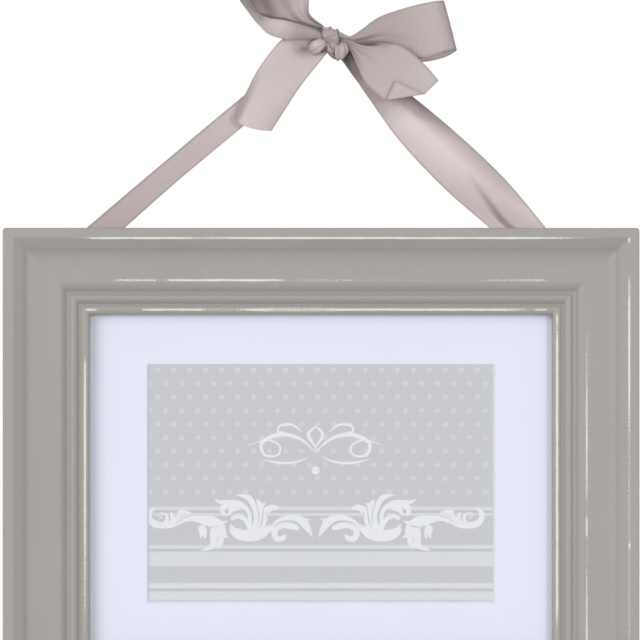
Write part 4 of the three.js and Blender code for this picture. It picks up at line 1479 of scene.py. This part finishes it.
def right_tail_shade(t, s):
    """Painted shade: dark at the knot, lighter towards the end, with a dark lower edge near the knot."""
    lengthwise = np.interp(t, [0, 0.12, 0.3, 0.5, 0.96, 1], [1.5, 1.4, 0.85, 0.7, 0.5, 0.7])
    return lengthwise + 1.3 * near(t, 0.25, 0.09) * clamp((-s - 0.45) / 0.4)


right_tail = [
    ((0.0, -9.6, 10.6), (-0.04, 0, -0.12), 0, 0, 1.2),
    ((4.8, -11.0, 9.9), (-0.08, 0, -0.09), 0, 0, 1.2),
    ((9.0, -12.2, 6.8), (-0.22, 0, -0.16), 0, 0.2, 1.2),
    ((16.2, -13.8, 3.0), (-0.56, 0, -0.46), 0, 0.2, 0.3),
    ((22.2, -14.5, -1.8), (-0.72, 0, -0.72), -0.6, 0, 0),
    ((31.4, -14.2, -9.6), (-0.76, 0, -0.74), -0.8, 0, 0),
    ((39.7, -13, -18.2), (-0.75, 0, -0.71), -0.5, 0, 0),
]
bow_part("tail_right", right_tail, right_tail_shade, fold=turn_corner, steps=260, columns=81)

# %% [markdown]
# ## A leg of the ribbon
#
# From the knot two legs run down to the frame. They pass behind its top edge and end under two staples
# each on the back of the rail. A leg is nearly straight, so its table gives shares of the way to its
# foot and how far it strays from the straight line there. The ribbon bends where the frame hangs on it.


# %% Legs
def leg_stations(top, foot, shares, slant, lie):
    """
    Places on the straight line from the knot to the foot, each moved a little to the right, then the end
    that lies on the back of the rail.
    """
    top = np.array(top)
    foot = np.array(foot)
    upper = [
        (tuple(top + (foot - top) * share + (shift, 0, 0)), over, cup, 0, roll)
        for share, shift, over, cup, roll in shares
    ]
    last = shares[-1][2]
    edge = MID_Z + TALL / 2
    lower = [((foot[0] + slant * drop, lie, edge - drop), last, 0, 0, 0) for drop in (2.5, 7, 12.5, 18)]
    return upper + lower


def leg(name, nodes, stations, shape, shade):
    """A leg and its end on the back of the rail in one strip that bends where the frame hangs on it."""
    grid, along, s = strip_grid(stations, steps=220, columns=65)
    grid = shape(grid)
    t = (along / along[-1])[:, None]
    piece = ribbon_piece(name, grid, rib_place(grid, along), s, shade(t, s), FAINT, body=None)
    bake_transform(piece)
    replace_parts(piece, *nodes)


print("ribbon passes the top edge at", MID_Z + TALL / 2, "mm")

# %% [markdown]
# ## Left leg
#
# The left leg is folded lengthwise, so its section is a flat hairpin, half of the width in front and
# half behind. The fold is made by moving the points of each row, so the leg stays one sheet.

# %% Left leg
HAIRPIN = 0.36


def folded(grid):
    """The strip doubled on itself: half of its width in front, a small bend, and half behind."""
    s = np.linspace(0, 1, grid.shape[1])
    place = np.where(s < 0.485, 1 - s / 0.485 * 2, -1 + (s - 0.485) / 0.515 * 2.06)
    left = grid[:, :1]
    right = grid[:, -1:]
    flat = (left + right) / 2 + (right - left) / 2 * place[:, None]
    bend = clamp((s - 0.455) / 0.06)
    return flat + np.array([0, 1, 0]) * (HAIRPIN * np.sin(np.pi * (bend - 0.5)))[:, None]


def left_leg_shade(t, s):
    """Painted shade: a curve along the leg, the same all the way across."""
    return np.interp(t, [0, 0.3, 0.5, 1], [0.9, 0.45, 0.62, 0.72]) + 0 * s


left_leg = [
    (-0.03, 0, (-0.2, 0, 0.12), 0, 0),
    (0, 0, (-0.28, 0, 0.1), 0, 0),
    (0.17, -0.6, (-0.36, 0, 0.2), 0, 0),
    (0.35, -1.2, (-0.2, 0, 0.4), 0, 0),
    (0.7, -1.2, (-0.38, 0, 0.25), 0, 0),
    (1, 0, (-0.72, 0, 0), 0, 0),
]
left_stations = leg_stations((-6, -2.9, 9.4), (-115.1, 1.0, -81.4), left_leg, -1.186, 0.75)
leg("leg_left", ["ribbon_leg_left", "ribbon_end_left"], left_stations, folded, left_leg_shade)

# %% [markdown]
# ## Right leg
#
# The right leg hollows into a half tube, and further down a crease runs through it towards its left
# edge. Shade is painted into it where it leaves the knot, on the side that the tail shades, and in
# the crease.


# %% Right leg
def creased(grid):
    """A groove that starts halfway down, wanders left and fades where the ribbon lies flat."""
    s = np.linspace(-1, 1, grid.shape[1])
    height = grid[..., 2]
    deep = clamp((-54 - height) / 22) * clamp((height + 84) / 2.5)
    moved = grid.copy()
    moved[..., 1] += 2.6 * deep * near(s, 0.38 * deep - 0.09, 0.13)
    return moved


def right_leg_shade(t, s):
    """Painted shade, added up: at the knot, on its shaded side, at its foot and in the crease."""
    neck = np.interp(t, [0, 0.12, 0.26, 0.36], [1.6, 1.3, 0.7, 0])
    side = np.interp(t, [0.2, 0.32, 0.44, 0.75], [0.8, 1.5, 0.6, 0]) * clamp(-s - 0.1)
    foot = np.interp(t, [0.45, 0.65], [0, 0.3])
    crease_line = np.interp(t, [0.58, 0.8], [-0.09, 0.29])
    groove = np.interp(t, [0.58, 0.8, 0.86], [0, 0.7, 0]) * near(s, crease_line, 0.12)
    return neck + side + foot + groove


right_leg = [
    (-0.04, 0.6, (-0.18, 0, -0.12), 0, 2.0),
    (0, 1.0, (-0.23, 0, -0.14), 0, 1.6),
    (0.11, 1.1, (-0.4, 0, -0.2), -1, 0.8),
    (0.23, 1.4, (-0.65, 0, -0.2), -4, 0),
    (0.47, 0.9, (-1.03, 0, -0.22), -6, 0),
    (0.74, 1.2, (-1.19, 0, -0.18), -5, 0),
    (1, 0.9, (-1.12, 0, 0), -0.4, 0),
]
right_stations = leg_stations((2.2, -3.9, 4.2), (87.1, 0.7, -81.4), right_leg, 0.992, 0.45)
leg("leg_right", ["ribbon_leg_right", "ribbon_end_right"], right_stations, creased, right_leg_shade)
